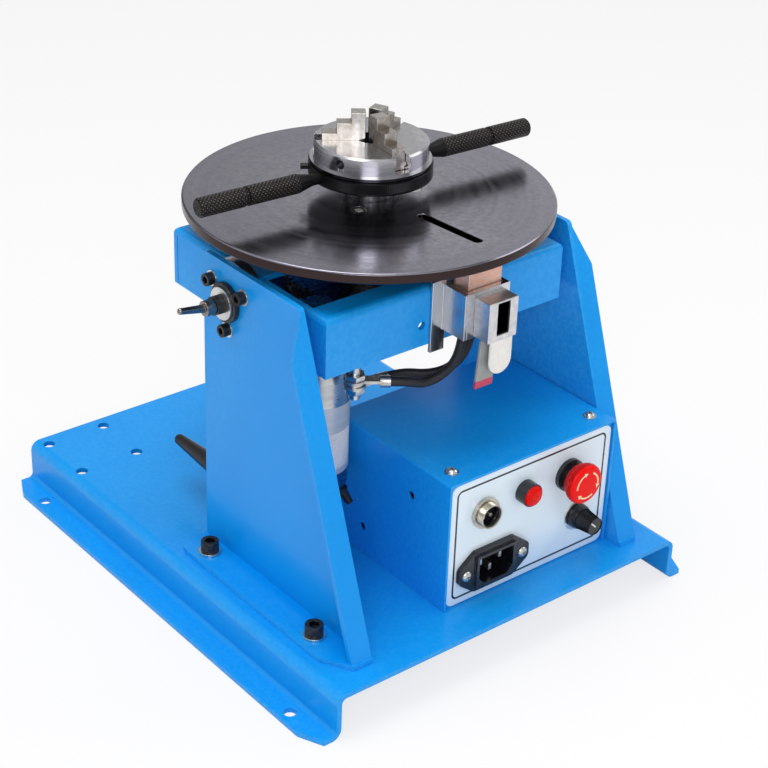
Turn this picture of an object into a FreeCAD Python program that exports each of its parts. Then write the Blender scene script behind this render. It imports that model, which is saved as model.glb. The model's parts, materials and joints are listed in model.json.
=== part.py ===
"""Bench welding positioner: a tilting 200 mm motor-driven turntable with a lever-scroll chuck.

Frame: millimetres, +Z up.  The origin is on the floor, in the middle of the four floor holes.
The front, where the operator stands and the control panel faces, is -Y; the tilt pivots lie
along X.  Everything that tilts or turns is placed from the turntable's axis, which also
crosses the pivot line.
"""
import FreeCAD, Part
import math
import os
import re

import Sketcher

doc = FreeCAD.newDocument("WeldingPositioner")

# ---------------------------------------------------------------- driving dimensions
SIZES = {
    # base channel
    "base_length": 305.0, "base_height": 27.0, "base_sheet": 3.0, "deck_side": 29.0,
    "base_bend": 3.0, "flange_width": 14.5, "flange_cut_length": 14.0, "flange_cut_width": 6.5,
    "floor_hole": 7.0, "floor_hole_inset": 6.5, "floor_hole_end": 29.0,
    "deck_hole": 7.0, "deck_pitch": 38.0, "deck_hole_in": 27.0, "deck_hole_end": 27.5,
    # side brackets
    "bracket_sheet": 3.0, "bracket_set_back": 12.0, "bracket_slant": 63.0,
    "bracket_depth": 146.0, "bracket_over": 21.0,
    "foot_width": 19.5, "foot_chamfer_side": 17.0, "foot_chamfer_end": 10.0, "foot_round": 8.0,
    "strip_width": 10.0, "strip_cut": 22.0, "bracket_corner": 3.0,
    "foot_screw_out": 10.0, "foot_screw_rear": 17.5, "foot_screw_in": 33.0,
    "foot_screw": 6.0, "foot_head": 10.0, "foot_head_height": 6.0, "foot_hole_play": 0.6,
    "foot_washer": 12.5, "foot_washer_thick": 1.6, "foot_nut_height": 5.0,
    # tilt pivots
    "axis_set_back": 136.0, "pivot_rise": 157.0, "pivot_shaft": 12.0, "pivot_play": 0.05,
    "pivot_disc": 44.0, "pivot_disc_thick": 6.0, "pivot_circle": 32.0, "pivot_screw": 4.0,
    "pivot_head": 7.0, "pivot_head_height": 4.0, "pivot_washer": 9.0,
    "pivot_washer_thick": 0.8, "pivot_boss": 16.0, "pivot_thread": 6.0,
    "pivot_stud_head": 4.0,
    "clamp_disc": 22.0, "clamp_disc_thick": 3.0, "clamp_washer": 18.0,
    "clamp_washer_thick": 1.5, "clamp_nut": 10.0, "clamp_nut_height": 4.5,
    "clamp_collar": 8.5, "clamp_collar_length": 5.5, "clamp_bar": 4.6, "clamp_bar_tip": 3.4,
    "clamp_bar_length": 16.0, "clamp_bar_lean": 10.0, "clamp_gap": 0.3,
    # tilt frame
    "frame_gap": 2.8, "frame_back": 68.0, "frame_over": 14.0, "frame_height": 33.4,
    "frame_sheet": 3.0, "frame_bend": 4.0, "frame_lip": 15.0, "frame_window": 43.0,
    "frame_island": 72.0, "frame_relief": 0.6, "frame_relief_deep": 0.9,
    "frame_hole": 4.5, "frame_hole_side": 18.0, "frame_hole_drop": 21.4,
    # turntable and spindle
    "table_diameter": 200.0, "table_thick": 6.0, "table_over": 24.5, "table_edge": 0.8,
    "slot_inner": 40.0, "slot_outer": 79.0, "slot_width": 5.5, "slot_angle": -84.8,
    "spindle": 20.0, "spindle_flange": 60.0, "spindle_flange_thick": 6.0,
    "spindle_shoulder": 26.0, "spindle_bore": 8.0, "table_screw": 5.0,
    "table_screw_circle": 48.4, "table_screw_head": 9.0, "table_screw_turn": 98.0,
    "bearing_outer": 32.0, "bearing_width": 7.0, "bearing_race": 2.2, "bearing_apart": 6.0,
    "housing_body": 40.0, "housing_flange": 64.0,
    "housing_flange_thick": 4.0, "housing_lip": 2.0, "housing_circle": 52.0,
    "housing_screw": 4.0, "housing_head": 7.0, "housing_head_height": 4.0,
    "housing_hole_play": 0.4,
    # drive
    "gear_module": 1.5, "gear_teeth": 59.0, "pinion_teeth": 18.0, "gear_width": 8.0,
    "gear_backlash": 0.12, "gear_hub": 23.0, "gear_hub_height": 3.0, "spindle_foot": 1.0,
    "motor_turn": 25.786, "pinion_shaft": 6.0, "pinion_hub": 14.0, "pinion_hub_height": 4.0,
    "motor_plate_thick": 3.0, "motor_plate_side": 20.0, "motor_plate_edge": 8.0,
    "motor_plate_inset": 3.0, "motor_plate_back": 6.0, "motor_plate_rear": 41.5,
    "motor_plate_step": 11.0, "motor_upstand": 22.0, "motor_upstand_back": 13.0,
    "motor_plate_gap": 2.0, "motor_room": 6.7,
    "gearbox": 37.0, "gearbox_length": 38.0, "gearbox_boss": 12.0, "gearbox_bore_deep": 9.0,
    "motor_ring": 36.0,
    "motor_ring_length": 4.5, "motor_can": 35.0, "motor_can_length": 38.0,
    "end_cap": 34.0, "end_cap_length": 12.5, "end_cap_bevel": 2.0, "boot": 6.5,
    "boot_length": 9.0, "boot_side": 8.0, "boot_front": 12.5, "boot_lean": 35.0,
    # earth brush on the front of the tilt frame
    "brush_sheet": 2.0, "brush_wing": 9.3, "brush_wing_drop": 38.0,
    "brush_wing_over": 2.5, "holder_left": 4.0, "holder_width": 28.5, "holder_depth": 19.2,
    "holder_drop": 26.0, "holder_height": 26.0, "holder_floor": 2.5, "brush_width": 22.6,
    "brush_thick": 11.6, "brush_length": 30.0, "brush_play": 0.35, "brush_gap": 0.3,
    "spring_wire": 1.2, "spring_coil": 8.0, "spring_turns": 4.0,
    "clamp_box_left": 4.3, "clamp_box_width": 19.8, "clamp_box_depth": 11.6,
    "clamp_box_up": 1.3, "clamp_box_height": 22.5, "clamp_box_window": 8.4,
    "clamp_box_window_high": 18.3, "clamp_box_window_side": 0.4, "clamp_box_brow": 1.2,
    "clamp_box_floor": 2.5,
    "tab_thick": 1.6, "white_tab": 15.2, "white_tab_length": 20.0, "white_tab_side": 2.6,
    "white_tab_set_back": 0.4, "grey_tab": 12.0, "grey_tab_length": 27.3,
    "grey_tab_side": 0.65, "grey_tab_drift": 2.35,
    # earth cables
    "cable": 5.2, "cable_gap": 0.5, "lug_barrel": 6.4, "lug_barrel_length": 5.5,
    "lug_tongue": 12.0, "lug_thick": 1.6, "lug_overlap": 1.0, "lug_front_drop": 18.0,
    "lug_rear_drop": 21.2, "earth_stud": 6.0, "earth_stud_left": 50.0, "earth_stud_clear": 10.378,
    "earth_stud_drop": 28.0, "earth_stud_head": 2.0, "earth_nut": 10.0, "earth_nut_height": 3.0,
    # tilt handle
    "handle_rod": 8.0, "handle_back": 18.0, "handle_drop": 127.0, "handle_bend": 14.0,
    "handle_grip": 12.4, "handle_grip_tip": 6.4, "handle_grip_length": 45.0,
    "handle_weld": 20.0,
    # chuck
    "chuck_stem": 26.6, "chuck_stem_height": 11.5, "stem_seat": 2.0, "stem_play": 0.05,
    "ring_outer": 66.4, "ring_height": 7.2,
    "ring_gap": 0.3, "chuck_body": 61.4, "chuck_body_height": 19.5, "chuck_lip": 65.0,
    "chuck_lip_height": 1.6, "chuck_crown": 1.0, "chuck_bore": 16.0, "chuck_hub": 30.0,
    "key_hole": 5.0, "key_hole_depth": 9.0,
    "key_hole_angle": 200.0, "jaw_width": 8.0, "jaw_angle": 24.0, "jaw_play": 0.15,
    "jaw_inner": 3.4, "jaw_step": 7.6, "jaw_rise": 5.7, "jaw_foot": 3.5,
    "jaw_slot_depth": 9.0, "jaw_rib": 1.0, "jaw_rib_height": 2.5, "jaw_rib_low": 2.0,
    "bar_angle": -3.0, "bar_start": 31.0, "bar_neck": 6.2, "bar_neck_end": 38.0,
    "bar_taper_end": 47.0, "bar_thick": 10.4, "bar_end": 106.5, "bar_groove": 78.5,
    "bar_groove_width": 2.4, "bar_groove_depth": 0.8, "peg": 3.4, "peg_length": 4.0,
    "peg_angle": 147.0,
    # control box
    "box_width": 119.9, "box_depth": 95.5, "box_height": 79.0, "box_gap": 0.6,
    "box_set_back": 23.5, "box_sheet": 1.5, "cover_sheet": 1.5, "cover_front": 1.2,
    "box_hole": 5.0, "box_return": 14.0, "panel_thick": 1.0, "panel_corner": 5.0,
    "panel_inset": 0.8, "cover_screw_in": 10.0, "cover_screw_back": 9.0,
    "small_screw": 3.0, "small_head": 6.2, "small_head_height": 2.2,
    "inlet_in": 33.3, "inlet_up": 19.0, "inlet_width": 50.0, "inlet_height": 25.0,
    "inlet_flange": 3.0, "inlet_pitch": 40.0, "inlet_socket": 24.0, "inlet_socket_high": 16.5,
    "inlet_socket_deep": 17.0, "inlet_wall": 1.8, "inlet_proud": 4.5, "inlet_tip": 8.4,
    "inlet_shoulder": 28.0, "inlet_round": 4.0, "inlet_socket_cut": 4.0,
    "blade": 4.0, "blade_thick": 2.0, "blade_length": 12.0, "blade_pitch": 7.0,
    "blade_rise": 2.0, "blade_drop": 3.5,
    "pedal_in": 25.8, "pedal_up": 53.7, "pedal_shell": 14.4, "pedal_nut": 18.0,
    "pedal_nut_thick": 2.5, "pedal_proud": 6.5, "pedal_bore": 12.4, "pedal_floor": 3.0,
    "pedal_pin": 2.4, "pedal_pin_circle": 6.4, "pedal_pin_length": 5.5,
    "lamp_in": 54.4, "lamp_up": 56.4, "lamp_bezel": 13.4, "lamp_rise": 7.1,
    "lamp_lens": 12.2, "lamp_lens_proud": 2.4, "lamp_seat": 3.0, "lamp_brow": 4.0,
    "stop_in": 86.7, "stop_up": 55.2, "stop_collar": 19.0, "stop_collar_high": 2.5,
    "stop_guide": 13.0, "stop_guide_high": 4.5, "stop_stem": 8.0, "stop_play": 0.05,
    "stop_neck": 17.0, "stop_neck_back": 6.8, "stop_head": 23.5, "stop_head_thick": 6.5,
    "stop_proud": 15.5, "stop_body": 20.0, "stop_body_deep": 18.0,
    "speed_in": 95.7, "speed_up": 25.4, "dial_washer": 18.0, "dial_washer_thick": 0.9,
    "speed_body": 16.5, "speed_body_deep": 9.0, "knob": 14.6,
    "knob_tip": 10.4, "knob_skirt": 4.5, "knob_length": 14.6, "knob_gap": 0.35,
    "speed_bush": 7.0, "speed_bush_proud": 6.0, "lamp_body": 11.5, "lamp_deep": 20.0,
    "pedal_deep": 12.0, "box_play": 0.15, "box_bend": 1.5, "vent": 3.0, "vent_high": 30.0,
    "vent_pitch": 9.0, "side_hole_in": 30.8, "side_hole_upper": 58.1,
    "side_hole_deep": 71.0, "side_hole_lower": 17.2,
    "supply_in": 59.5, "supply_inset": 12.5,
    "supply_width": 66.0, "supply_depth": 44.0, "supply_height": 30.0, "supply_sheet": 1.2,
}

# Places that follow from the sizes above.
DERIVED = {
    "centres": "gear_module * (gear_teeth + pinion_teeth) / 2",
    "motor_side": "centres * cos(motor_turn)",
    "motor_reach": "centres * sin(motor_turn)",
    "earth_stud_front": "motor_reach + gearbox / 2 + earth_stud_clear",
    "motor_plate_front": "earth_stud_front + motor_plate_edge",
    "frame_front": "motor_plate_front + motor_plate_inset + frame_sheet",
    "frame_width": "2 * (motor_side + gearbox / 2 + motor_room + frame_sheet)",
    "bracket_span": "frame_width + 2 * (frame_gap + pivot_disc_thick + bracket_sheet)",
    "base_width": "bracket_span + 2 * deck_side",
    "deck_hole_side": "base_width / 2 - deck_hole_in",
    "deck_hole_back": "base_length / 2 - deck_hole_end",
    "floor_hole_pitch": "base_length - 2 * floor_hole_end",
    "bracket_front": "base_length / 2 - bracket_set_back",
    "bracket_top_front": "bracket_front - bracket_slant",
    "bracket_back": "bracket_depth - bracket_front",
    "axis_front": "base_length / 2 - axis_set_back",
    "foot_screw_front": "bracket_front - foot_screw_in",
    "foot_screw_back": "foot_screw_rear - bracket_back",
    "pivot_height": "base_height + pivot_rise",
    "bracket_top": "pivot_height + bracket_over",
    "frame_top": "pivot_height + frame_over",
    "table_top": "frame_top + table_over",
    "holder_low": "frame_top - holder_drop",
    "holder_high": "holder_low + holder_height",
    "brush_wing_low": "frame_top - brush_wing_drop",
    "brush_wing_high": "frame_top + brush_wing_over",
    "clamp_box_low": "holder_low + clamp_box_up",
    "clamp_box_high": "clamp_box_low + clamp_box_height",
    "chuck_stem_top": "table_top + chuck_stem_height",
    "chuck_top": "chuck_stem_top + chuck_body_height",
    "box_front": "base_length / 2 - box_set_back",
    "box_back": "box_front - box_depth",
    "box_right": "bracket_span / 2 - bracket_sheet - box_gap",
    "box_left": "box_width - box_right",
    "box_top": "base_height + box_height",
    "side_hole_front": "box_front - side_hole_in",
    "side_hole_back": "box_front - side_hole_deep",
    "side_hole_high": "base_height + side_hole_upper",
    "side_hole_low": "base_height + side_hole_lower",
    "inlet_x": "inlet_in - box_left", "inlet_z": "base_height + inlet_up",
    "pedal_x": "pedal_in - box_left", "pedal_z": "base_height + pedal_up",
    "lamp_x": "lamp_in - box_left", "lamp_z": "base_height + lamp_up",
    "stop_x": "stop_in - box_left", "stop_z": "base_height + stop_up",
    "speed_x": "speed_in - box_left", "speed_z": "base_height + speed_up",
    "supply_x": "supply_in - box_left", "supply_back": "box_back + supply_inset",
}
NAMES = [*SIZES, *DERIVED]

sheet = doc.addObject("Spreadsheet::Sheet", "Sizes")
for row, name in enumerate(NAMES, start=1):
    sheet.set("A%d" % row, name)
    sheet.setAlias("B%d" % row, name)
for row, name in enumerate(NAMES, start=1):
    sheet.set("B%d" % row, str(SIZES[name]) if name in SIZES else "=" + DERIVED[name])
doc.recompute()


def formula(text):
    """Turn size names into references to the spreadsheet."""
    return re.sub(r"[a-z_]+", lambda m: "Sizes." + m.group() if m.group() in NAMES else m.group(),
                  text)


def value(text):
    """The number that a formula gives now."""
    return float(sheet.evalExpression(formula(text)))


def size(name):
    """One size from the spreadsheet."""
    return float(sheet.get(name))


NODES = {}


def node(label, thing):
    """Name a finished sub-part; its label is its file's name."""
    thing.Label = label
    NODES[label] = thing
    return thing


# ---------------------------------------------------------------- Part primitives
UP = FreeCAD.Rotation()
TO_RIGHT = FreeCAD.Rotation(FreeCAD.Vector(0, 1, 0), 90)
TO_LEFT = FreeCAD.Rotation(FreeCAD.Vector(0, 1, 0), -90)
TO_FRONT = FreeCAD.Rotation(FreeCAD.Vector(1, 0, 0), 90)
TO_BACK = FreeCAD.Rotation(FreeCAD.Vector(1, 0, 0), -90)


def place(thing, x, y, z, turn=UP):
    """Put a piece at formulas x, y, z, turned by a fixed rotation."""
    thing.Placement = FreeCAD.Placement(FreeCAD.Vector(), turn)
    for letter, text in (("x", x), ("y", y), ("z", z)):
        thing.setExpression("Placement.Base." + letter, formula(text))
    return thing


def bind(thing, **formulas):
    """Bind properties to the spreadsheet."""
    for name, text in formulas.items():
        thing.setExpression(name, formula(text))
    return thing


def block(x, y, z, length, width, height, turn=UP):
    """A box with its low corner at x, y, z."""
    thing = bind(doc.addObject("Part::Box", "Block"), Length=length, Width=width, Height=height)
    return place(thing, x, y, z, turn)


def rod(x, y, z, diameter, length, turn=UP):
    """A cylinder from x, y, z along the turned Z."""
    thing = doc.addObject("Part::Cylinder", "Rod")
    bind(thing, Radius="(%s) / 2" % diameter, Height=length)
    return place(thing, x, y, z, turn)


def taper(x, y, z, start, end, length, turn=UP):
    """A cone frustum from diameter start to diameter end."""
    thing = doc.addObject("Part::Cone", "Taper")
    bind(thing, Radius1="(%s) / 2" % start, Radius2="(%s) / 2" % end, Height=length)
    return place(thing, x, y, z, turn)


def hexagon(x, y, z, flats, length, turn=UP):
    """A hexagonal prism measured across its flats."""
    thing = doc.addObject("Part::Prism", "Hexagon")
    thing.Polygon = 6
    bind(thing, Circumradius="(%s) / sqrt(3)" % flats, Height=length)
    return place(thing, x, y, z, turn)


def fuse(*things):
    """One solid from several."""
    thing = doc.addObject("Part::MultiFuse", "Joined")
    thing.Shapes = list(things)
    thing.Refine = True
    return thing


def cut(base, *tools):
    """A solid less one or more others."""
    thing = doc.addObject("Part::Cut", "Trimmed")
    thing.Base = base
    thing.Tool = tools[0] if len(tools) == 1 else fuse(*tools)
    return thing


def group(*things):
    """Several separate solids in one node."""
    thing = doc.addObject("Part::Compound", "Group")
    thing.Links = list(things)
    return thing


# ---------------------------------------------------------------- sketched bodies
def new_body(name):
    """An empty PartDesign body."""
    return doc.addObject("PartDesign::Body", name)


def flat_sketch(body, plane, offset="0"):
    """A sketch on one of the body's own origin planes, moved along its normal."""
    sketch = body.newObject("Sketcher::SketchObject", "Sketch")
    support = [f for f in body.Origin.OriginFeatures if f.Role == plane][0]
    sketch.AttachmentSupport = (support, [""])
    sketch.MapMode = "FlatFace"
    sketch.setExpression("AttachmentOffset.Base.z", formula(offset))
    return sketch


def pin_point(sketch, geometry, point, x, y):
    """Hold one sketch point at formulas x, y from the sketch's origin."""
    for kind, axis, text in (("DistanceX", -2, x), ("DistanceY", -1, y)):
        number = value(text)
        if abs(number) < 1e-9:
            sketch.addConstraint(Sketcher.Constraint("PointOnObject", geometry, point, axis))
        elif number > 0:
            index = sketch.addConstraint(
                Sketcher.Constraint(kind, -1, 1, geometry, point, number))
            sketch.setExpression("Constraints[%d]" % index, formula(text))
        else:
            index = sketch.addConstraint(
                Sketcher.Constraint(kind, geometry, point, -1, 1, -number))
            sketch.setExpression("Constraints[%d]" % index, formula("-(%s)" % text))


def polygon(sketch, corners):
    """A closed outline through corners, each a pair of formulas."""
    points = [FreeCAD.Vector(value(x), value(y), 0) for x, y in corners]
    first = sketch.GeometryCount
    last = len(points) - 1
    for i, start in enumerate(points):
        sketch.addGeometry(Part.LineSegment(start, points[(i + 1) % len(points)]), False)
    for i in range(len(points)):
        following = first + (0 if i == last else i + 1)
        sketch.addConstraint(Sketcher.Constraint("Coincident", first + i, 2, following, 1))
    for i, (x, y) in enumerate(corners):
        pin_point(sketch, first + i, 1, x, y)


def rectangle(sketch, x_low, y_low, x_high, y_high):
    """An upright rectangle between formulas."""
    polygon(sketch, [(x_low, y_low), (x_high, y_low), (x_high, y_high), (x_low, y_high)])


def circle(sketch, x, y, diameter):
    """A circle with its centre at formulas x, y."""
    centre = FreeCAD.Vector(value(x), value(y), 0)
    index = sketch.addGeometry(
        Part.Circle(centre, FreeCAD.Vector(0, 0, 1), value(diameter) / 2), False)
    held = sketch.addConstraint(Sketcher.Constraint("Diameter", index, value(diameter)))
    sketch.setExpression("Constraints[%d]" % held, formula(diameter))
    pin_point(sketch, index, 3, x, y)


def pad(body, sketch, length, back=False):
    """Extrude a sketch."""
    feature = body.newObject("PartDesign::Pad", "Pad")
    feature.Profile = sketch
    feature.Reversed = back
    feature.setExpression("Length", formula(length))
    return feature


def pocket(body, sketch, length, back=False):
    """Cut a sketch against its normal, or along it with back."""
    feature = body.newObject("PartDesign::Pocket", "Pocket")
    feature.Profile = sketch
    feature.Reversed = back
    feature.setExpression("Length", formula(length))
    return feature


def revolve(body, sketch, axis="V_Axis"):
    """Turn a sketch right round one of its own axes."""
    feature = body.newObject("PartDesign::Revolution", "Revolution")
    feature.Profile = sketch
    feature.ReferenceAxis = (sketch, [axis])
    feature.Angle = 360
    return feature


def edges_where(shape, wanted):
    """Names of the straight edges whose two ends both satisfy a test."""
    names = []
    for number, edge in enumerate(shape.Edges, start=1):
        if len(edge.Vertexes) == 2 and wanted(edge):
            names.append("Edge%d" % number)
    return names


def blend_edges(body, base, radius, wanted, kind="PartDesign::Fillet"):
    """Round, or bevel, the edges of the last feature that satisfy a test."""
    doc.recompute()
    feature = body.newObject(kind, kind.split("::")[1])
    feature.Base = (base, edges_where(base.Shape, wanted))
    feature.setExpression("Radius" if kind.endswith("Fillet") else "Size", formula(radius))
    return feature


def near(a, b):
    """Whether two lengths agree."""
    return abs(a - b) < 1e-4


def runs_along(edge, axis):
    """Whether an edge is parallel to axis 0, 1 or 2."""
    ends = [vertex.Point for vertex in edge.Vertexes]
    return all(near(ends[0][k], ends[1][k]) for k in range(3) if k != axis)


def seen_from(edge, axis):
    """The edge's two coordinates across an axis."""
    point = edge.Vertexes[0].Point
    return tuple(point[k] for k in range(3) if k != axis)


# ---------------------------------------------------------------- base and brackets
def base_plate():
    """A bent hat channel: a deck, two webs and two flanges that stand on the floor."""
    body = new_body("BasePlate")
    half = "base_width / 2"
    out = "(base_width / 2 + flange_width)"
    section = flat_sketch(body, "XZ_Plane", "-base_length / 2")
    polygon(section, [
        ("-" + out, "0"), ("-(%s) + base_sheet" % half, "0"),
        ("-(%s) + base_sheet" % half, "base_height - base_sheet"),
        ("%s - base_sheet" % half, "base_height - base_sheet"), ("%s - base_sheet" % half, "0"),
        (out, "0"), (out, "base_sheet"), (half, "base_sheet"), (half, "base_height"),
        ("-(%s)" % half, "base_height"), ("-(%s)" % half, "base_sheet"),
        ("-" + out, "base_sheet")])
    channel = pad(body, section, "base_length")
    width, sheet_thick, height = size("base_width") / 2, size("base_sheet"), size("base_height")

    def outer_bend(edge):
        x, z = seen_from(edge, 1)
        top = near(abs(x), width) and near(z, height)
        heel = near(abs(x), width - sheet_thick) and near(z, 0)
        return runs_along(edge, 1) and (top or heel)

    def inner_bend(edge):
        x, z = seen_from(edge, 1)
        under = near(abs(x), width - sheet_thick) and near(z, height - sheet_thick)
        toe = near(abs(x), width) and near(z, sheet_thick)
        return runs_along(edge, 1) and (under or toe)

    rounded = blend_edges(body, channel, "base_bend + base_sheet", outer_bend)
    rounded = blend_edges(body, rounded, "base_bend", inner_bend)
    corners = flat_sketch(body, "XY_Plane", "base_sheet")
    for sx in ("-", ""):
        for sy in ("-", ""):
            polygon(corners, [
                ("%s(%s - flange_cut_width)" % (sx, out), "%s(base_length / 2)" % sy),
                ("%s(%s)" % (sx, out), "%s(base_length / 2)" % sy),
                ("%s(%s)" % (sx, out), "%s(base_length / 2 - flange_cut_length)" % sy)])
            circle(corners, "%s(%s - floor_hole_inset)" % (sx, out),
                   "%sfloor_hole_pitch / 2" % sy, "floor_hole")
    pocket(body, corners, "base_sheet")
    deck = flat_sketch(body, "XY_Plane", "base_height")
    for sx in ("-", "+"):
        for sy in ("-", "+"):
            circle(deck, "-deck_hole_side %s deck_pitch / 2" % sx,
                   "deck_hole_back %s deck_pitch / 2" % sy, "deck_hole")
    for sx in ("-", ""):
        for screw in ("foot_screw_back", "foot_screw_front"):
            circle(deck, "%s(bracket_span / 2 + foot_screw_out)" % sx, "-" + screw,
                   "foot_screw + foot_hole_play")
    pocket(body, deck, "base_sheet")
    return node("base_plate", body)


def left_bracket():
    """A bent side plate with a foot, a slanted front strip and the pivot's holes."""
    body = new_body("LeftBracket")
    low = "base_height"
    plate = flat_sketch(body, "YZ_Plane", "-bracket_span / 2")
    polygon(plate, [("-bracket_front", low), ("bracket_back", low),
                    ("bracket_back", "bracket_top"), ("-bracket_top_front", "bracket_top")])
    wall = pad(body, plate, "bracket_sheet")
    back, top, front = size("bracket_back"), size("bracket_top"), size("bracket_top_front")

    def top_corner(edge):
        y, z = seen_from(edge, 0)
        return runs_along(edge, 0) and near(z, top) and (near(y, back) or near(y, -front))

    blend_edges(body, wall, "bracket_corner", top_corner)
    foot = flat_sketch(body, "XY_Plane", low)
    inner = "-(bracket_span / 2 - bracket_sheet)"
    outer = "-(bracket_span / 2 + foot_width)"
    polygon(foot, [(inner, "-bracket_front"),
                   (outer + " + foot_chamfer_end", "-bracket_front"),
                   (outer, "-bracket_front + foot_chamfer_side"),
                   (outer, "bracket_back"), (inner, "bracket_back")])
    sole = pad(body, foot, "bracket_sheet")
    out_x, low_z = -(size("bracket_span") / 2 + size("foot_width")), size("base_height")

    def heel_corner(edge):
        x, y = seen_from(edge, 2)
        low_end = min(v.Point.z for v in edge.Vertexes)
        return (runs_along(edge, 2) and near(x, out_x) and near(y, back)
                and near(low_end, low_z))

    blend_edges(body, sole, "foot_round", heel_corner)
    strip = flat_sketch(body, "YZ_Plane", "-bracket_span / 2 - strip_width")
    rise = "(bracket_top - base_height)"
    run = "(bracket_front - bracket_top_front)"
    across = "bracket_sheet * sqrt(%s ^ 2 + %s ^ 2) / %s" % (rise, run, rise)
    seat = "base_height + bracket_sheet"
    toe = "-bracket_front + bracket_sheet * %s / %s" % (run, rise)
    brow = "-bracket_top_front - bracket_corner * %s / %s" % (run, rise)
    polygon(strip, [(toe, seat), ("%s + %s" % (toe, across), seat),
                    ("%s + %s" % (brow, across), "bracket_top - bracket_corner"),
                    (brow, "bracket_top - bracket_corner")])
    pad(body, strip, "strip_width")
    shear = flat_sketch(body, "XZ_Plane", "bracket_top_front + bracket_front")
    edge_x = "-bracket_span / 2"
    polygon(shear, [(edge_x, "bracket_top + 1"),
                    (edge_x + " - strip_width - 1", "bracket_top + 1"),
                    (edge_x + " - strip_width - 1",
                     "bracket_top - strip_cut - bracket_corner"),
                    (edge_x + " - strip_width", "bracket_top - strip_cut - bracket_corner"),
                    (edge_x, "bracket_top - bracket_corner")])
    pocket(body, shear, "bracket_top_front + bracket_front")
    holes = flat_sketch(body, "YZ_Plane", "-bracket_span / 2 + bracket_sheet")
    circle(holes, "-axis_front", "pivot_height", "pivot_boss + 2 * clamp_gap")
    for y, z in pivot_screw_places():
        circle(holes, y, z, "pivot_screw + foot_hole_play")
    pocket(body, holes, "bracket_sheet")
    soles = flat_sketch(body, "XY_Plane", "base_height + bracket_sheet")
    for screw in ("foot_screw_back", "foot_screw_front"):
        circle(soles, "-(bracket_span / 2 + foot_screw_out)", "-" + screw,
               "foot_screw + foot_hole_play")
    pocket(body, soles, "bracket_sheet")
    return node("left_bracket", body)


def pivot_screw_places():
    """Three screws round the pivot, the lowest straight below it."""
    return [("-axis_front + pivot_circle / 2 * cos(%d)" % turn,
             "pivot_height + pivot_circle / 2 * sin(%d)" % turn) for turn in (30, 150, 270)]


def mirrored(label, source):
    """The same piece on the other side of the object's middle plane."""
    thing = doc.addObject("Part::Mirroring", "Mirrored")
    thing.Source = source
    thing.Normal = FreeCAD.Vector(1, 0, 0)
    thing.Base = FreeCAD.Vector()
    return node(label, thing) if label else thing


def cap_screw(x, y, z, turn, diameter, head, head_height, length):
    """A hexagon-socket cap screw; x, y, z is under its head and turn points out of the head."""
    ahead = turn.multVec(FreeCAD.Vector(0, 0, 1))

    def along(distance):
        parts = []
        for text, component in ((x, ahead.x), (y, ahead.y), (z, ahead.z)):
            step = round(component)
            parts.append("%s + (%d) * (%s)" % (text, step, distance))
        return parts

    crown = rod(x, y, z, head, head_height, turn)
    shank = rod(*along("-(%s)" % length), diameter, "%s + 0.5" % length, turn)
    key = hexagon(*along("0.5 * %s" % head_height), "%s / 2" % head, head_height, turn)
    return cut(fuse(crown, shank), key)


def washer(x, y, z, turn, outer, inner, thick):
    """A flat ring."""
    return cut(rod(x, y, z, outer, thick, turn), rod(x, y, z, inner, thick, turn))


def foot_fasteners():
    """Four socket screws with washers that hold the brackets' feet to the deck."""
    screws, washers = [], []
    for sx in ("-", ""):
        for screw in ("foot_screw_back", "foot_screw_front"):
            x = "%s(bracket_span / 2 + foot_screw_out)" % sx
            top = "base_height + bracket_sheet"
            washers.append(washer(x, "-" + screw, top, UP, "foot_washer",
                                  "foot_screw + foot_hole_play", "foot_washer_thick"))
            seat = top + " + foot_washer_thick"
            screwed = cap_screw(x, "-" + screw, seat, UP, "foot_screw", "foot_head",
                                "foot_head_height",
                                "(bracket_sheet + base_sheet + foot_washer_thick"
                                " + foot_nut_height + 1.5)")
            nut = hexagon(x, "-" + screw, "base_height - base_sheet - foot_nut_height",
                          "foot_head", "foot_nut_height")
            screws.append(fuse(screwed, nut))
    node("foot_screws", group(*screws))
    return washers


def pivot_bearings():
    """Flanged bushes inside the brackets that carry the pivot studs."""
    pair = []
    for sign, turn in (("-", TO_LEFT), ("", TO_RIGHT)):
        inner = "%s(bracket_span / 2 - bracket_sheet - pivot_disc_thick)" % sign
        flange = rod(inner, "-axis_front", "pivot_height", "pivot_disc", "pivot_disc_thick", turn)
        boss = rod(inner, "-axis_front", "pivot_height", "pivot_boss",
                   "pivot_disc_thick + bracket_sheet", turn)
        bore = rod(inner, "-axis_front", "pivot_height", "pivot_shaft + 2 * pivot_play",
                   "pivot_disc_thick + bracket_sheet", turn)
        holes = [rod(inner, y, z, "pivot_screw", "pivot_disc_thick", turn)
                 for y, z in pivot_screw_places()]
        pair.append(cut(fuse(flange, boss), bore, *holes))
    return node("pivot_bearings", group(*pair))


def pivot_fasteners(washers):
    """Socket screws through the brackets into the flanged bushes."""
    screws = []
    for sign, turn in (("-", TO_LEFT), ("", TO_RIGHT)):
        for y, z in pivot_screw_places():
            face = "%s(bracket_span / 2)" % sign
            seat = "%s(bracket_span / 2 + pivot_washer_thick)" % sign
            washers.append(washer(face, y, z, turn, "pivot_washer",
                                  "pivot_screw + foot_hole_play", "pivot_washer_thick"))
            screws.append(cap_screw(seat, y, z, turn, "pivot_screw", "pivot_head",
                                    "pivot_head_height",
                                    "(pivot_washer_thick + bracket_sheet"
                                    " + pivot_disc_thick - 0.5)"))
    node("pivot_screws", group(*screws))
    node("bracket_washers", group(*washers))


base_plate()
mirrored("right_bracket", left_bracket())
pivot_bearings()
pivot_fasteners(foot_fasteners())


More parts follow.
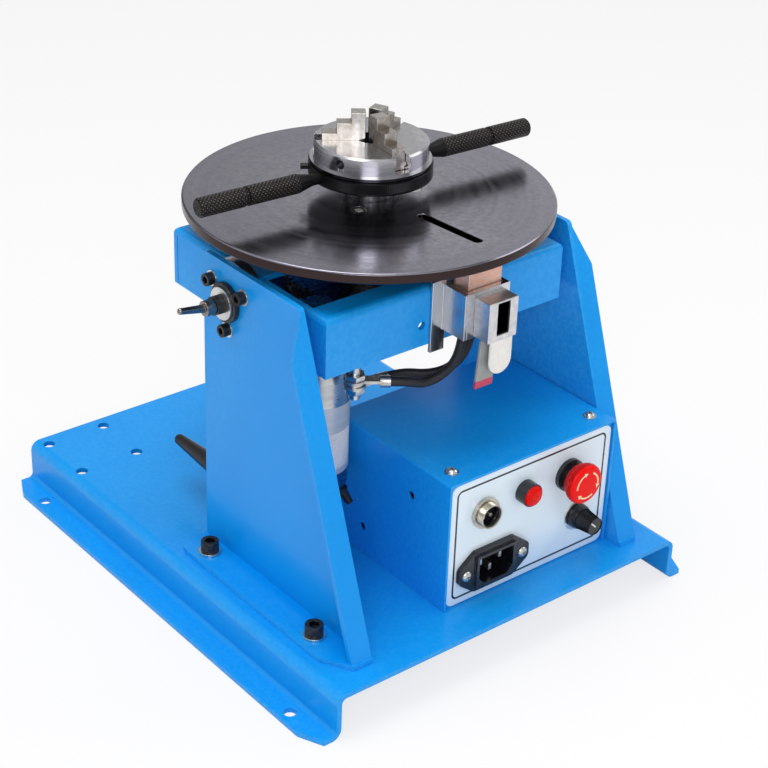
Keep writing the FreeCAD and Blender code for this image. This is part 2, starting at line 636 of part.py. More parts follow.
# ---------------------------------------------------------------- tilt frame and pivots
AXIS_Y = "-axis_front"
FACE_Y = "-axis_front - frame_front"
REAR_Y = "-axis_front + frame_back"
FRAME_LOW = "(frame_top - frame_height)"
WALL_IN = "(frame_width / 2 - frame_sheet)"
TABLE_LOW = "(table_top - table_thick)"
HOUSING_TOP = "(frame_top + housing_flange_thick)"
BEARING_LOW = "(%s - 2 * bearing_width - bearing_apart)" % HOUSING_TOP
GEAR_LOW = "(%s - gear_hub_height - gear_width)" % BEARING_LOW
PLATE_LOW = "(%s - motor_plate_gap - motor_plate_thick)" % GEAR_LOW
MOTOR_X = "-motor_side"
MOTOR_Y = "(-axis_front - motor_reach)"


def tilt_frame():
    """A folded tray, open below, with a window in its top and four walls."""
    body = new_body("TiltFrame")
    plan = flat_sketch(body, "XY_Plane", FRAME_LOW)
    rectangle(plan, "-frame_width / 2", FACE_Y, "frame_width / 2", REAR_Y)
    tray = pad(body, plan, "frame_height")
    top = size("frame_top")

    def top_edge(edge):
        points = [vertex.Point for vertex in edge.Vertexes]
        return all(near(p.z, top) for p in points)

    blend_edges(body, tray, "frame_bend", top_edge)
    inside = flat_sketch(body, "XY_Plane", FRAME_LOW)
    rectangle(inside, "-" + WALL_IN, FACE_Y + " + frame_sheet", WALL_IN,
              REAR_Y + " - frame_sheet")
    pocket(body, inside, "frame_height - frame_sheet", back=True)
    window = flat_sketch(body, "XY_Plane", "frame_top")
    near_y, far_y = FACE_Y + " + frame_lip", FACE_Y + " + frame_lip + frame_window"
    island_y = "-axis_front - frame_island / 2"
    polygon(window, [("-" + WALL_IN, near_y), (WALL_IN, near_y), (WALL_IN, far_y),
                     ("frame_island / 2", far_y), ("frame_island / 2", island_y),
                     ("-frame_island / 2", island_y), ("-frame_island / 2", far_y),
                     ("-" + WALL_IN, far_y)])
    pocket(body, window, "frame_sheet")
    openings = flat_sketch(body, "XY_Plane", "frame_top")
    circle(openings, "0", AXIS_Y, "housing_body + housing_hole_play")
    for x, y in housing_screw_places():
        circle(openings, x, y, "housing_screw + housing_hole_play")
    pocket(body, openings, "frame_sheet")
    pivots = flat_sketch(body, "YZ_Plane", "frame_width / 2")
    circle(pivots, AXIS_Y, "pivot_height", "pivot_shaft")
    pocket(body, pivots, "frame_width")
    small = flat_sketch(body, "XZ_Plane", "axis_front + frame_front")
    circle(small, "-frame_hole_side", "frame_top - frame_hole_drop", "frame_hole")
    pocket(body, small, "frame_sheet")
    notches = flat_sketch(body, "XY_Plane", FRAME_LOW)
    for sx in ("-", ""):
        for inward, wall in (("+", FACE_Y), ("-", REAR_Y)):
            far = "%s %s (frame_sheet + frame_relief)" % (wall, inward)
            close = "%s %s frame_sheet" % (wall, inward)
            polygon(notches, [
                ("%s(frame_width / 2 + 1)" % sx, far),
                ("%s(frame_width / 2 - frame_relief_deep)" % sx, far),
                ("%s(frame_width / 2 - frame_relief_deep)" % sx, close),
                ("%s(frame_width / 2 + 1)" % sx, close)])
    pocket(body, notches, "frame_height - frame_bend", back=True)
    return node("tilt_frame", body)


def housing_screw_places():
    """Four screws round the bearing housing."""
    return [("housing_circle / 2 * cos(%d)" % turn,
             "-axis_front + housing_circle / 2 * sin(%d)" % turn)
            for turn in (45, 135, 225, 315)]


def pivot_studs():
    """A clamped stud on the left and a headed one on the right, fixed in the frame's walls."""
    face = "(bracket_span / 2 + clamp_gap)"
    stack = "(clamp_disc_thick + clamp_washer_thick + clamp_nut_height)"
    root = "(%s - pivot_stud_head)" % WALL_IN
    shaft = rod("-" + root, AXIS_Y, "pivot_height", "pivot_shaft",
                "bracket_span / 2 - " + root, TO_LEFT)
    head = rod("-" + root, AXIS_Y, "pivot_height", "1.5 * pivot_shaft", "pivot_stud_head",
               TO_LEFT)
    thread = rod("-bracket_span / 2", AXIS_Y, "pivot_height", "pivot_thread",
                 "clamp_gap + %s + clamp_gap + 0.7 * clamp_collar_length" % stack, TO_LEFT)
    right_shaft = rod(root, AXIS_Y, "pivot_height", "pivot_shaft", "%s - %s" % (face, root),
                      TO_RIGHT)
    right_nut = rod(root, AXIS_Y, "pivot_height", "1.5 * pivot_shaft", "pivot_stud_head",
                    TO_RIGHT)
    flange = rod(face, AXIS_Y, "pivot_height", "clamp_disc", "clamp_disc_thick", TO_RIGHT)
    cap = hexagon("%s + clamp_disc_thick" % face, AXIS_Y, "pivot_height", "1.4 * clamp_nut",
                  "clamp_nut_height", TO_RIGHT)
    node("pivot_studs", group(fuse(shaft, head, thread),
                              fuse(right_shaft, right_nut, flange, cap)))


def clamp_stack():
    """Friction disc, washer and nut on the left stud, outside the bracket."""
    start = "bracket_span / 2 + clamp_gap"
    hole = "pivot_thread + 0.2"
    disc = washer("-(%s)" % start, AXIS_Y, "pivot_height", TO_LEFT, "clamp_disc", hole,
                  "clamp_disc_thick")
    start = start + " + clamp_disc_thick"
    ring = washer("-(%s)" % start, AXIS_Y, "pivot_height", TO_LEFT, "clamp_washer", hole,
                  "clamp_washer_thick")
    start = start + " + clamp_washer_thick"
    nut = cut(hexagon("-(%s)" % start, AXIS_Y, "pivot_height", "clamp_nut",
                      "clamp_nut_height", TO_LEFT),
              rod("-(%s)" % start, AXIS_Y, "pivot_height", hole, "clamp_nut_height", TO_LEFT))
    node("clamp_disc", disc)
    node("clamp_washer", ring)
    node("clamp_nut", nut)


def clamp_lever():
    """The collar and tapered bar that lock the tilt."""
    start = ("(bracket_span / 2 + 2 * clamp_gap + clamp_disc_thick + clamp_washer_thick"
             " + clamp_nut_height)")
    collar = rod("-" + start, AXIS_Y, "pivot_height", "clamp_collar", "clamp_collar_length",
                 TO_LEFT)
    bore = rod("-" + start, AXIS_Y, "pivot_height", "pivot_thread + 2 * pivot_play",
               "0.8 * clamp_collar_length", TO_LEFT)
    lean = FreeCAD.Rotation(FreeCAD.Vector(0, 1, 0), -90 + size("clamp_bar_lean"))
    root_x = "-(%s + 0.7 * clamp_collar_length)" % start
    bar = taper(root_x, AXIS_Y, "pivot_height", "clamp_bar", "clamp_bar_tip",
                "clamp_bar_length", lean)
    tip = doc.addObject("Part::Sphere", "Tip")
    bind(tip, Radius="clamp_bar_tip / 2")
    place(tip, "%s - clamp_bar_length * cos(clamp_bar_lean)" % root_x, AXIS_Y,
          "pivot_height + clamp_bar_length * sin(clamp_bar_lean)")
    node("clamp_lever", cut(fuse(collar, bar, tip), bore))


def bearing_housing():
    """A flanged housing that hangs through the frame's top and holds two bearings."""
    low = "(%s - housing_lip)" % BEARING_LOW
    flange = rod("0", AXIS_Y, "frame_top", "housing_flange", "housing_flange_thick")
    barrel = rod("0", AXIS_Y, low, "housing_body", "%s - %s" % (HOUSING_TOP, low))
    seat = rod("0", AXIS_Y, BEARING_LOW, "bearing_outer", "%s - %s" % (HOUSING_TOP, BEARING_LOW))
    throat = rod("0", AXIS_Y, low, "bearing_outer - 2 * bearing_race - 3", "housing_lip")
    holes = [rod(x, y, "frame_top", "housing_screw + housing_hole_play",
                 "housing_flange_thick") for x, y in housing_screw_places()]
    node("bearing_housing", cut(fuse(flange, barrel), seat, throat, *holes))
    screws = [cap_screw(x, y, HOUSING_TOP, UP, "housing_screw", "housing_head",
                        "housing_head_height",
                        "(housing_flange_thick + frame_sheet + 2)")
              for x, y in housing_screw_places()]
    node("housing_screws", group(*screws))


def bearings():
    """Two shielded ball bearings: outer races in the housing, inner races on the spindle."""
    outer, inner = [], []
    for low in (BEARING_LOW, "(%s + bearing_width + bearing_apart)" % BEARING_LOW):
        race = rod("0", AXIS_Y, low, "bearing_outer", "bearing_width")
        gap = rod("0", AXIS_Y, "%s + 0.8" % low, "bearing_outer - 2 * bearing_race",
                  "bearing_width - 1.6")
        eye = rod("0", AXIS_Y, low, "spindle + 2 * bearing_race + 0.8", "bearing_width")
        outer.append(cut(race, gap, eye))
        inner.append(washer("0", AXIS_Y, low, UP, "spindle + 2 * bearing_race",
                            "spindle", "bearing_width"))
    node("bearing_outer_races", group(*outer))
    node("bearing_inner_races", group(*inner))


# ---------------------------------------------------------------- turntable
def table_disc():
    """The round table with its bevelled rim, centre hole, radial slot and screw seats."""
    body = new_body("TableDisc")
    plan = flat_sketch(body, "XY_Plane", TABLE_LOW)
    circle(plan, "0", AXIS_Y, "table_diameter")
    disc = pad(body, plan, "table_thick")
    doc.recompute()
    rim = body.newObject("PartDesign::Chamfer", "Rim")
    rim.Base = (disc, [name for name in ("Edge%d" % (i + 1) for i in range(len(disc.Shape.Edges)))
                       if disc.Shape.getElement(name).isClosed()])
    rim.setExpression("Size", formula("table_edge"))
    cuts = flat_sketch(body, "XY_Plane", "table_top")
    circle(cuts, "0", AXIS_Y, "spindle_bore")
    for x, y in table_screw_places():
        circle(cuts, x, y, "table_screw")
    pocket(body, cuts, "table_thick")
    seats = flat_sketch(body, "XY_Plane", "table_top")
    for x, y in table_screw_places():
        circle(seats, x, y, "table_screw_head + 0.4")
    pocket(body, seats, "table_thick / 2")
    middle = flat_sketch(body, "XY_Plane", "table_top")
    circle(middle, "0", AXIS_Y, "chuck_stem + 2 * stem_play")
    pocket(body, middle, "stem_seat")
    slot = flat_sketch(body, "XY_Plane", "table_top")
    ends = []
    for reach in ("slot_inner", "slot_outer"):
        for side in (-1, 1) if reach == "slot_inner" else (1, -1):
            ends.append(("%s * cos(slot_angle) + (%d) * slot_width / 2 * sin(slot_angle)"
                         % (reach, -side),
                         "-axis_front + %s * sin(slot_angle) + (%d) * slot_width / 2"
                         " * cos(slot_angle)" % (reach, side)))
    polygon(slot, ends)
    pocket(body, slot, "table_thick")
    for reach in ("slot_inner", "slot_outer"):
        end = flat_sketch(body, "XY_Plane", "table_top")
        circle(end, "%s * cos(slot_angle)" % reach,
               "-axis_front + %s * sin(slot_angle)" % reach, "slot_width")
        pocket(body, end, "table_thick")
    return node("table_disc", body)


def table_screw_places():
    """Three screws that hold the table to the spindle's flange."""
    return [("table_screw_circle / 2 * cos(table_screw_turn + %d)" % turn,
             "-axis_front + table_screw_circle / 2 * sin(table_screw_turn + %d)" % turn)
            for turn in (0, 120, 240)]


def table_screws():
    """Pan screws sunk in the table's seats."""
    screws = []
    for x, y in table_screw_places():
        seat = "(table_top - table_thick / 2)"
        screws.append(cap_screw(x, y, seat, UP, "table_screw - 0.2", "table_screw_head",
                                "table_thick / 2 - 0.2",
                                "(table_thick / 2 + spindle_flange_thick - 0.5)"))
    node("table_screws", group(*screws))


def spindle():
    """The turned spindle: table flange, shoulder and shaft."""
    shoulder = "(%s - spindle_flange_thick)" % TABLE_LOW
    body = new_body("Spindle")
    half = flat_sketch(body, "XZ_Plane", "axis_front")
    foot = "(%s - spindle_foot)" % GEAR_LOW
    polygon(half, [("spindle_bore / 2", foot), ("spindle / 2", foot),
                   ("spindle / 2", HOUSING_TOP), ("spindle_shoulder / 2", HOUSING_TOP),
                   ("spindle_shoulder / 2", shoulder), ("spindle_flange / 2", shoulder),
                   ("spindle_flange / 2", TABLE_LOW), ("spindle_bore / 2", TABLE_LOW)])
    turned = revolve(body, half)
    holes = flat_sketch(body, "XY_Plane", TABLE_LOW)
    for x, y in table_screw_places():
        circle(holes, x, y, "table_screw - 0.2")
    pocket(body, holes, "spindle_flange_thick")
    return node("spindle", body)


def tooth_outline(teeth, module, thinning):
    """A closed outline of involute teeth about the origin, the first one centred on +X."""
    pitch = teeth * module / 2
    base = pitch * math.cos(math.radians(20))
    root, tip = pitch - 1.25 * module, pitch + module
    inv_pressure = math.tan(math.radians(20)) - math.radians(20)
    half_tooth = math.pi / (2 * teeth) - thinning / (2 * pitch)
    flank = []
    for step in range(4):
        radius = max(base, root) + (tip - max(base, root)) * step / 3
        angle = math.acos(min(1.0, base / radius))
        flank.append((radius, half_tooth + inv_pressure - (math.tan(angle) - angle)))
    if base > root:
        flank.insert(0, (root, flank[0][1]))
    points = []
    for tooth in range(int(teeth)):
        middle = 2 * math.pi * tooth / teeth
        for radius, angle in flank:
            points.append((radius, middle - angle))
        for radius, angle in reversed(flank):
            points.append((radius, middle + angle))
    return [FreeCAD.Vector(r * math.cos(a), r * math.sin(a), 0) for r, a in points]


def toothed_disc(teeth, turn, x, y):
    """A spur gear blank with its teeth, turned about its axis."""
    outline = tooth_outline(teeth, size("gear_module"), size("gear_backlash"))
    shape = Part.Face(Part.makePolygon(outline + outline[:1]))
    shape = shape.extrude(FreeCAD.Vector(0, 0, size("gear_width")))
    thing = doc.addObject("Part::Feature", "Teeth")
    thing.Shape = shape
    return place(thing, x, y, GEAR_LOW, FreeCAD.Rotation(FreeCAD.Vector(0, 0, 1), turn))


def gears():
    """The spindle's gear and the motor's pinion, in mesh along the line of their centres."""
    line = math.degrees(math.atan2(value(MOTOR_Y) + size("axis_front"), value(MOTOR_X)))
    wheel = toothed_disc(size("gear_teeth"), line, "0", AXIS_Y)
    hub = rod("0", AXIS_Y, "%s + gear_width" % GEAR_LOW, "gear_hub", "gear_hub_height")
    bore = rod("0", AXIS_Y, GEAR_LOW, "spindle", "gear_width + gear_hub_height")
    node("drive_gear", cut(fuse(wheel, hub), bore))
    half_tooth = math.degrees(math.pi / size("pinion_teeth"))
    small = toothed_disc(size("pinion_teeth"), line + 180 + half_tooth, MOTOR_X, MOTOR_Y)
    collar = rod(MOTOR_X, MOTOR_Y, "%s + gear_width" % GEAR_LOW, "pinion_hub",
                 "pinion_hub_height")
    shaft_low = "(%s - gearbox_bore_deep + spindle_foot)" % PLATE_LOW
    shaft = rod(MOTOR_X, MOTOR_Y, shaft_low, "pinion_shaft",
                "%s + gear_width + pinion_hub_height - %s" % (GEAR_LOW, shaft_low))
    node("pinion", fuse(small, collar, shaft))


# ---------------------------------------------------------------- drive motor
def motor_plate():
    """A bent plate inside the frame that carries the motor and the earth stud."""
    body = new_body("MotorPlate")
    plan = flat_sketch(body, "XY_Plane", PLATE_LOW)
    front, back = "-axis_front - motor_plate_front", "-axis_front - motor_plate_back"
    rear, step = "-axis_front + motor_plate_rear", "-%s + motor_plate_step" % WALL_IN
    polygon(plan, [("-" + WALL_IN, front), ("-motor_plate_side", front),
                   ("-motor_plate_side", rear), (step, rear), (step, back),
                   ("-" + WALL_IN, back)])
    pad(body, plan, "motor_plate_thick")
    lug = flat_sketch(body, "XY_Plane", PLATE_LOW)
    rectangle(lug, "-" + WALL_IN, front, "-%s + motor_plate_thick" % WALL_IN,
              "-axis_front - motor_upstand_back")
    pad(body, lug, "motor_upstand")
    holes = flat_sketch(body, "XY_Plane", "%s + motor_plate_thick" % PLATE_LOW)
    circle(holes, MOTOR_X, MOTOR_Y, "gearbox_boss")
    circle(holes, "-earth_stud_left", "-axis_front - earth_stud_front", "earth_stud")
    pocket(body, holes, "motor_plate_thick")
    return node("motor_plate", body)


def motor():
    """Gearbox, ring, can and end cap, hanging straight down from the motor plate."""
    boss = rod(MOTOR_X, MOTOR_Y, PLATE_LOW, "gearbox_boss", "motor_plate_thick")
    case = rod(MOTOR_X, MOTOR_Y, "%s - gearbox_length" % PLATE_LOW, "gearbox",
               "gearbox_length")
    bore = rod(MOTOR_X, MOTOR_Y, "%s - gearbox_bore_deep" % PLATE_LOW,
               "pinion_shaft + 2 * pivot_play", "gearbox_bore_deep + motor_plate_thick")
    node("gearbox", cut(fuse(boss, case), bore))
    ring_low = "(%s - gearbox_length - motor_ring_length)" % PLATE_LOW
    ring = rod(MOTOR_X, MOTOR_Y, ring_low, "motor_ring", "motor_ring_length")
    can_low = "(%s - motor_can_length)" % ring_low
    can = rod(MOTOR_X, MOTOR_Y, can_low, "motor_can", "motor_can_length")
    node("motor_can", fuse(ring, can))
    cap_low = "(%s - end_cap_length)" % can_low
    cap = rod(MOTOR_X, MOTOR_Y, "%s + end_cap_bevel" % cap_low, "end_cap",
              "end_cap_length - end_cap_bevel")
    crown = taper(MOTOR_X, MOTOR_Y, cap_low, "end_cap - 2 * end_cap_bevel", "end_cap",
                  "end_cap_bevel")
    node("motor_end_cap", fuse(cap, crown))
    boots = []
    for sign in (-1, 1):
        x = "%s + (%d) * boot_side" % (MOTOR_X, sign)
        y = "%s - (%d) * boot_front" % (MOTOR_Y, sign)
        lean = FreeCAD.Rotation(FreeCAD.Vector(-size("boot_front"), -size("boot_side"), 0),
                                sign * size("boot_lean"))
        drop = lean.multiply(FreeCAD.Rotation(FreeCAD.Vector(1, 0, 0), 180))
        collar = rod(x, y, "%s - 0.6 * boot" % cap_low, "boot", "0.6 * boot")
        sleeve = taper(x, y, "%s - 0.3 * boot" % cap_low, "0.9 * boot", "0.6 * boot",
                       "boot_length", drop)
        boots.append(fuse(collar, sleeve))
    node("motor_boots", group(*boots))


# ---------------------------------------------------------------- earth brush
HOLDER_X = "-holder_left"
HOLDER_FRONT = "(-axis_front - frame_front - holder_depth)"
BRUSH_X = "(holder_width / 2 - holder_left)"
BRUSH_Y = "(-axis_front - frame_front - holder_depth / 2)"
BRUSH_TOP = "(%s - brush_gap)" % TABLE_LOW


def brush_bracket():
    """The angle that screws the brush holder to the frame's front wall."""
    wing = block("-holder_left - brush_wing", FACE_Y + " - brush_sheet", "brush_wing_low",
                 "brush_wing", "brush_sheet", "brush_wing_high - brush_wing_low")
    arm = block("-holder_left - brush_sheet", HOLDER_FRONT, "holder_low", "brush_sheet",
                "holder_depth", "holder_high - holder_low")
    node("brush_bracket", fuse(wing, arm))


def brush_holder():
    """A rectangular pocket that guides the copper brush."""
    outer = block(HOLDER_X, HOLDER_FRONT, "holder_low", "holder_width", "holder_depth",
                  "holder_high - holder_low")
    inner = block("%s - brush_width / 2 - brush_play" % BRUSH_X,
                  "%s - brush_thick / 2 - brush_play" % BRUSH_Y,
                  "holder_low + holder_floor", "brush_width + 2 * brush_play",
                  "brush_thick + 2 * brush_play", "holder_high - holder_low")
    node("brush_holder", cut(outer, inner))


def brush():
    """The copper block that rubs on the table's underside, and the spring below it."""
    node("brush_block", block("%s - brush_width / 2" % BRUSH_X, "%s - brush_thick / 2" % BRUSH_Y,
                              "%s - brush_length" % BRUSH_TOP, "brush_width", "brush_thick",
                              "brush_length"))
    low = value("holder_low + holder_floor") + 0.6 * size("spring_wire")
    high = value("%s - brush_length" % BRUSH_TOP) - 0.6 * size("spring_wire")
    wire = size("spring_wire")
    radius = size("spring_coil") / 2
    helix = Part.makeHelix((high - low) / size("spring_turns"), high - low, radius)
    corner = wire / 2
    section = Part.makePolygon([FreeCAD.Vector(radius + dx, 0, dz) for dx, dz in (
        (-corner, -corner), (corner, -corner), (corner, corner), (-corner, corner),
        (-corner, -corner))])
    coil = Part.Wire(helix.Edges).makePipeShell([section], True, True)
    spring = doc.addObject("Part::Feature", "Spring")
    spring.Shape = coil
    place(spring, BRUSH_X, BRUSH_Y, "holder_low + holder_floor + 0.6 * spring_wire")
    node("brush_spring", spring)


def clamp_box():
    """The small windowed clamp on the holder's front, and the two tabs below it."""
    left = "(clamp_box_left - holder_left)"
    high = "(clamp_box_high - clamp_box_low)"
    outer = block(left, HOLDER_FRONT + " - clamp_box_depth", "clamp_box_low",
                  "clamp_box_width", "clamp_box_depth", high)
    window = block("%s + clamp_box_width / 2 - clamp_box_window / 2 + clamp_box_window_side" % left,
                   HOLDER_FRONT + " - clamp_box_depth",
                   "clamp_box_high - clamp_box_brow - clamp_box_window_high",
                   "clamp_box_window", "clamp_box_depth - clamp_box_floor",
                   "clamp_box_window_high")
    node("brush_clamp", cut(outer, window))
    straight = "(white_tab_length - white_tab / 2)"
    front = "%s - clamp_box_depth + white_tab_set_back" % HOLDER_FRONT
    side = left + " + white_tab_side"
    tab = block(side, front, "clamp_box_low - %s" % straight, "white_tab", "tab_thick",
                straight)
    end = rod(side + " + white_tab / 2", front, "clamp_box_low - %s" % straight,
              "white_tab", "tab_thick", TO_BACK)
    node("white_tab", fuse(tab, end))
    body = new_body("GreyTab")
    strip = flat_sketch(body, "XZ_Plane",
                        "axis_front + frame_front + holder_depth + clamp_box_depth / 2")
    near_side, low = "%s - grey_tab_side" % left, "clamp_box_low - grey_tab_length"
    polygon(strip, [(near_side, "clamp_box_low"), (near_side + " - grey_tab_drift", low),
                    (near_side + " + grey_tab - grey_tab_drift", low),
                    (near_side + " + grey_tab", "clamp_box_low")])
    pad(body, strip, "tab_thick")
    node("grey_tab", body)


# ---------------------------------------------------------------- earth cables
def cord_tube(label, points, diameter):
    """A round cord through straight runs joined by tangent arcs."""
    spots = [FreeCAD.Vector(value(x), value(y), value(z)) for x, y, z in points]
    edges, start = [], spots[0]
    for before, corner, after in zip(spots, spots[1:], spots[2:]):
        into, out = corner - before, after - corner
        turn = into.getAngle(out)
        back_off = 0.45 * min(into.Length, out.Length)
        radius = back_off / math.tan(turn / 2)
        into.normalize()
        out.normalize()
        first, last = corner - into * back_off, corner + out * back_off
        centre_way = out - into
        centre_way.normalize()
        reach = radius * (1 / math.cos(turn / 2) - 1)
        middle = corner + centre_way * reach
        edges.append(Part.LineSegment(start, first).toShape())
        edges.append(Part.Arc(first, middle, last).toShape())
        print("%s: arc of radius %.1f mm" % (label, radius))
        start = last
    edges.append(Part.LineSegment(start, spots[-1]).toShape())
    path = Part.Wire(edges)
    ahead = spots[1] - spots[0]
    ring = Part.Wire(Part.Circle(spots[0], ahead, diameter / 2).toShape())
    tube = doc.addObject("Part::Feature", "Cord")
    tube.Shape = path.makePipeShell([ring], True, True)
    wanted = math.pi * diameter ** 2 / 4 * path.Length
    print("%s: length %.1f mm, volume %.3f of section times length"
          % (label, path.Length, tube.Shape.Volume / wanted))
    node(label, tube)
    return spots


def route(*points):
    """Formulas for a cord's points, given from the axis and the holder's underside."""
    return [("%s" % x, "-axis_front - %s" % ahead, "holder_low - %s" % drop)
            for x, ahead, drop in points]


def earth_cables():
    """Two short cables from the brush holder to lugs on the earth stud below the frame."""
    front = route((0, 80, "cable_gap"), (-1, 79.5, 13.5), (-7, 74.5, 24.5), (-16, 70.5, 29),
                  (-27.7, 70.353333, 24), (-35, 65, 24))
    rear = route((6, 80, "cable_gap"), (5, 78.5, 12), (0, 72.5, 23.5), (-9, 65.5, 28),
                 (-20.5, 56.2125, 27.2), (-30, 55.5, 27.2))
    front_low = "(%s - lug_front_drop)" % PLATE_LOW
    rear_low = "(%s - lug_rear_drop)" % PLATE_LOW
    lugs = []
    for label, points, level in (("earth_cable_front", front, front_low),
                                 ("earth_cable_rear", rear, rear_low)):
        end = cord_tube(label, points, size("cable"))[-1]
        stud = FreeCAD.Vector(-size("earth_stud_left"), value("-axis_front - earth_stud_front"),
                              end.z)
        heading = stud - end
        turn = math.degrees(math.atan2(heading.y, heading.x))
        aim = FreeCAD.Rotation(FreeCAD.Vector(0, 0, 1), turn)
        barrel = rod(points[-1][0], points[-1][1], level, "lug_barrel", "lug_barrel_length",
                     aim.multiply(TO_RIGHT))
        tail = size("lug_barrel_length") - size("lug_overlap")
        neck = Part.makeBox(heading.Length - tail, size("lug_barrel"), size("lug_thick"),
                            FreeCAD.Vector(tail, -size("lug_barrel") / 2, 0))
        tongue = doc.addObject("Part::Feature", "Tongue")
        tongue.Shape = neck
        place(tongue, points[-1][0], points[-1][1], level, aim)
        eye = rod("-earth_stud_left", "-axis_front - earth_stud_front", level, "lug_tongue",
                  "lug_thick")
        hole = rod("-earth_stud_left", "-axis_front - earth_stud_front", level, "earth_stud",
                   "lug_thick")
        lugs.append(cut(fuse(barrel, tongue, eye), hole))
    node("cable_lugs", group(*lugs))
    x, y = "-earth_stud_left", "-axis_front - earth_stud_front"
    top = "(%s + motor_plate_thick)" % PLATE_LOW
    foot = "(%s - earth_stud_drop)" % PLATE_LOW
    shank = rod(x, y, foot, "earth_stud", "%s - %s" % (top, foot))
    head = hexagon(x, y, top, "earth_nut", "earth_stud_head")
    spacer = rod(x, y, rear_low + " + lug_thick", "earth_nut",
                 "%s - %s - lug_thick" % (front_low, rear_low))
    nuts = [hexagon(x, y, low, "earth_nut", "earth_nut_height")
            for low in (rear_low + " - earth_nut_height", front_low + " + lug_thick",
                        PLATE_LOW + " - earth_nut_height")]
    node("earth_stud", fuse(shank, head, spacer, *nuts))


def tilt_handle():
    """A bent rod welded inside the frame's left wall, with a tapered grip pointing back."""
    x = -value(WALL_IN) + size("handle_rod") / 2
    y = value("-axis_front + handle_back")
    low = value("pivot_height - handle_drop")
    bend = size("handle_bend")
    top = value(FRAME_LOW) + size("handle_weld")
    down = Part.LineSegment(FreeCAD.Vector(x, y, top), FreeCAD.Vector(x, y, low + bend))
    half = bend * math.sqrt(0.5)
    arc = Part.Arc(FreeCAD.Vector(x, y, low + bend),
                   FreeCAD.Vector(x, y + bend - half, low + bend - half),
                   FreeCAD.Vector(x, y + bend, low))
    ring = Part.Wire(Part.Circle(FreeCAD.Vector(x, y, top), FreeCAD.Vector(0, 0, -1),
                                 size("handle_rod") / 2).toShape())
    stem = doc.addObject("Part::Feature", "Stem")
    stem.Shape = Part.Wire([down.toShape(), arc.toShape()]).makePipeShell([ring], True, True)
    grip_y = "-axis_front + handle_back + handle_bend"
    grip_x = "-%s + handle_rod / 2" % WALL_IN
    grip_z = "pivot_height - handle_drop"
    grip = taper(grip_x, grip_y, grip_z, "handle_grip", "handle_grip_tip",
                 "handle_grip_length", TO_BACK)
    tip = doc.addObject("Part::Sphere", "Tip")
    bind(tip, Radius="handle_grip_tip / 2")
    place(tip, grip_x, grip_y + " + handle_grip_length", grip_z)
    node("tilt_handle", fuse(stem, grip, tip))


# ---------------------------------------------------------------- chuck
RING_LOW = "(chuck_stem_top + ring_gap)"
LIP_LOW = "(%s + ring_height + ring_gap)" % RING_LOW


def radial(angle, reach, side="0"):
    """Formulas for x and y at a reach and a sideways step from the turntable's axis."""
    return ("(%s) * cos(%s) - (%s) * sin(%s)" % (reach, angle, side, angle),
            "-axis_front + (%s) * sin(%s) + (%s) * cos(%s)" % (reach, angle, side, angle))


def radial_block(angle, start, low, length, width, height):
    """A box that points away from the axis, centred on the given direction."""
    x, y = radial(angle, start, "-(%s) / 2" % width)
    turn = FreeCAD.Rotation(FreeCAD.Vector(0, 0, 1), value(angle))
    return block(x, y, low, length, width, height, turn)


def outward(angle):
    """The rotation that points a rod away from the axis."""
    return FreeCAD.Rotation(FreeCAD.Vector(0, 0, 1), value(angle)).multiply(TO_RIGHT)


def chuck():
    """Stem, body and its three guideways."""
    foot, height = "(table_top - stem_seat)", "chuck_stem_height + stem_seat"
    stem = cut(rod("0", AXIS_Y, foot, "chuck_stem", height),
               rod("0", AXIS_Y, foot, "spindle_bore", height))
    node("chuck_stem", stem)
    hub = rod("0", AXIS_Y, "chuck_stem_top", "chuck_hub", "%s - chuck_stem_top" % LIP_LOW)
    lip = rod("0", AXIS_Y, LIP_LOW, "chuck_lip", "chuck_lip_height")
    barrel = rod("0", AXIS_Y, "%s + chuck_lip_height" % LIP_LOW, "chuck_body",
                 "chuck_top - %s - chuck_lip_height - chuck_crown" % LIP_LOW)
    crown = taper("0", AXIS_Y, "chuck_top - chuck_crown", "chuck_body",
                  "chuck_body - 2 * chuck_crown", "chuck_crown")
    bore = rod("0", AXIS_Y, "chuck_stem_top", "chuck_bore", "chuck_top - chuck_stem_top")
    cuts = [bore]
    for turn in (0, 120, 240):
        angle = "(jaw_angle + %d)" % turn
        floor = "chuck_top - jaw_slot_depth"
        cuts.append(radial_block(angle, "0", floor, "chuck_body", "jaw_width + 2 * jaw_play",
                                 "jaw_slot_depth"))
        cuts.append(radial_block(angle, "0", "%s + jaw_rib_low - jaw_play" % floor,
                                 "chuck_body", "jaw_width + 2 * jaw_rib + 2 * jaw_play",
                                 "jaw_rib_height + 2 * jaw_play"))
    key_x, key_y = radial("key_hole_angle", "chuck_body / 2 - key_hole_depth")
    cuts.append(rod(key_x, key_y, "(chuck_top + %s) / 2 + 1" % LIP_LOW, "key_hole",
                    "key_hole_depth + 1", outward("key_hole_angle")))
    node("chuck_body", cut(fuse(hub, lip, barrel, crown), *cuts))


def jaws():
    """Three stepped jaws, highest at the centre, ribbed to slide in the body."""
    for number, turn in enumerate((0, 120, 240), start=1):
        angle = "(jaw_angle + %d)" % turn
        low = "(chuck_top - jaw_slot_depth + jaw_play)"
        sunk = "(jaw_slot_depth - jaw_play)"
        steps = [radial_block(angle, "jaw_inner", low, "(%d) * jaw_step" % (3 - level),
                              "jaw_width", "%s + jaw_foot + %d * jaw_rise" % (sunk, level))
                 for level in range(3)]
        rib = radial_block(angle, "jaw_inner + jaw_step",
                           "%s - jaw_play + jaw_rib_low" % low, "2 * jaw_step",
                           "jaw_width + 2 * jaw_rib", "jaw_rib_height")
        node("jaw_%d" % number, fuse(rib, *steps))


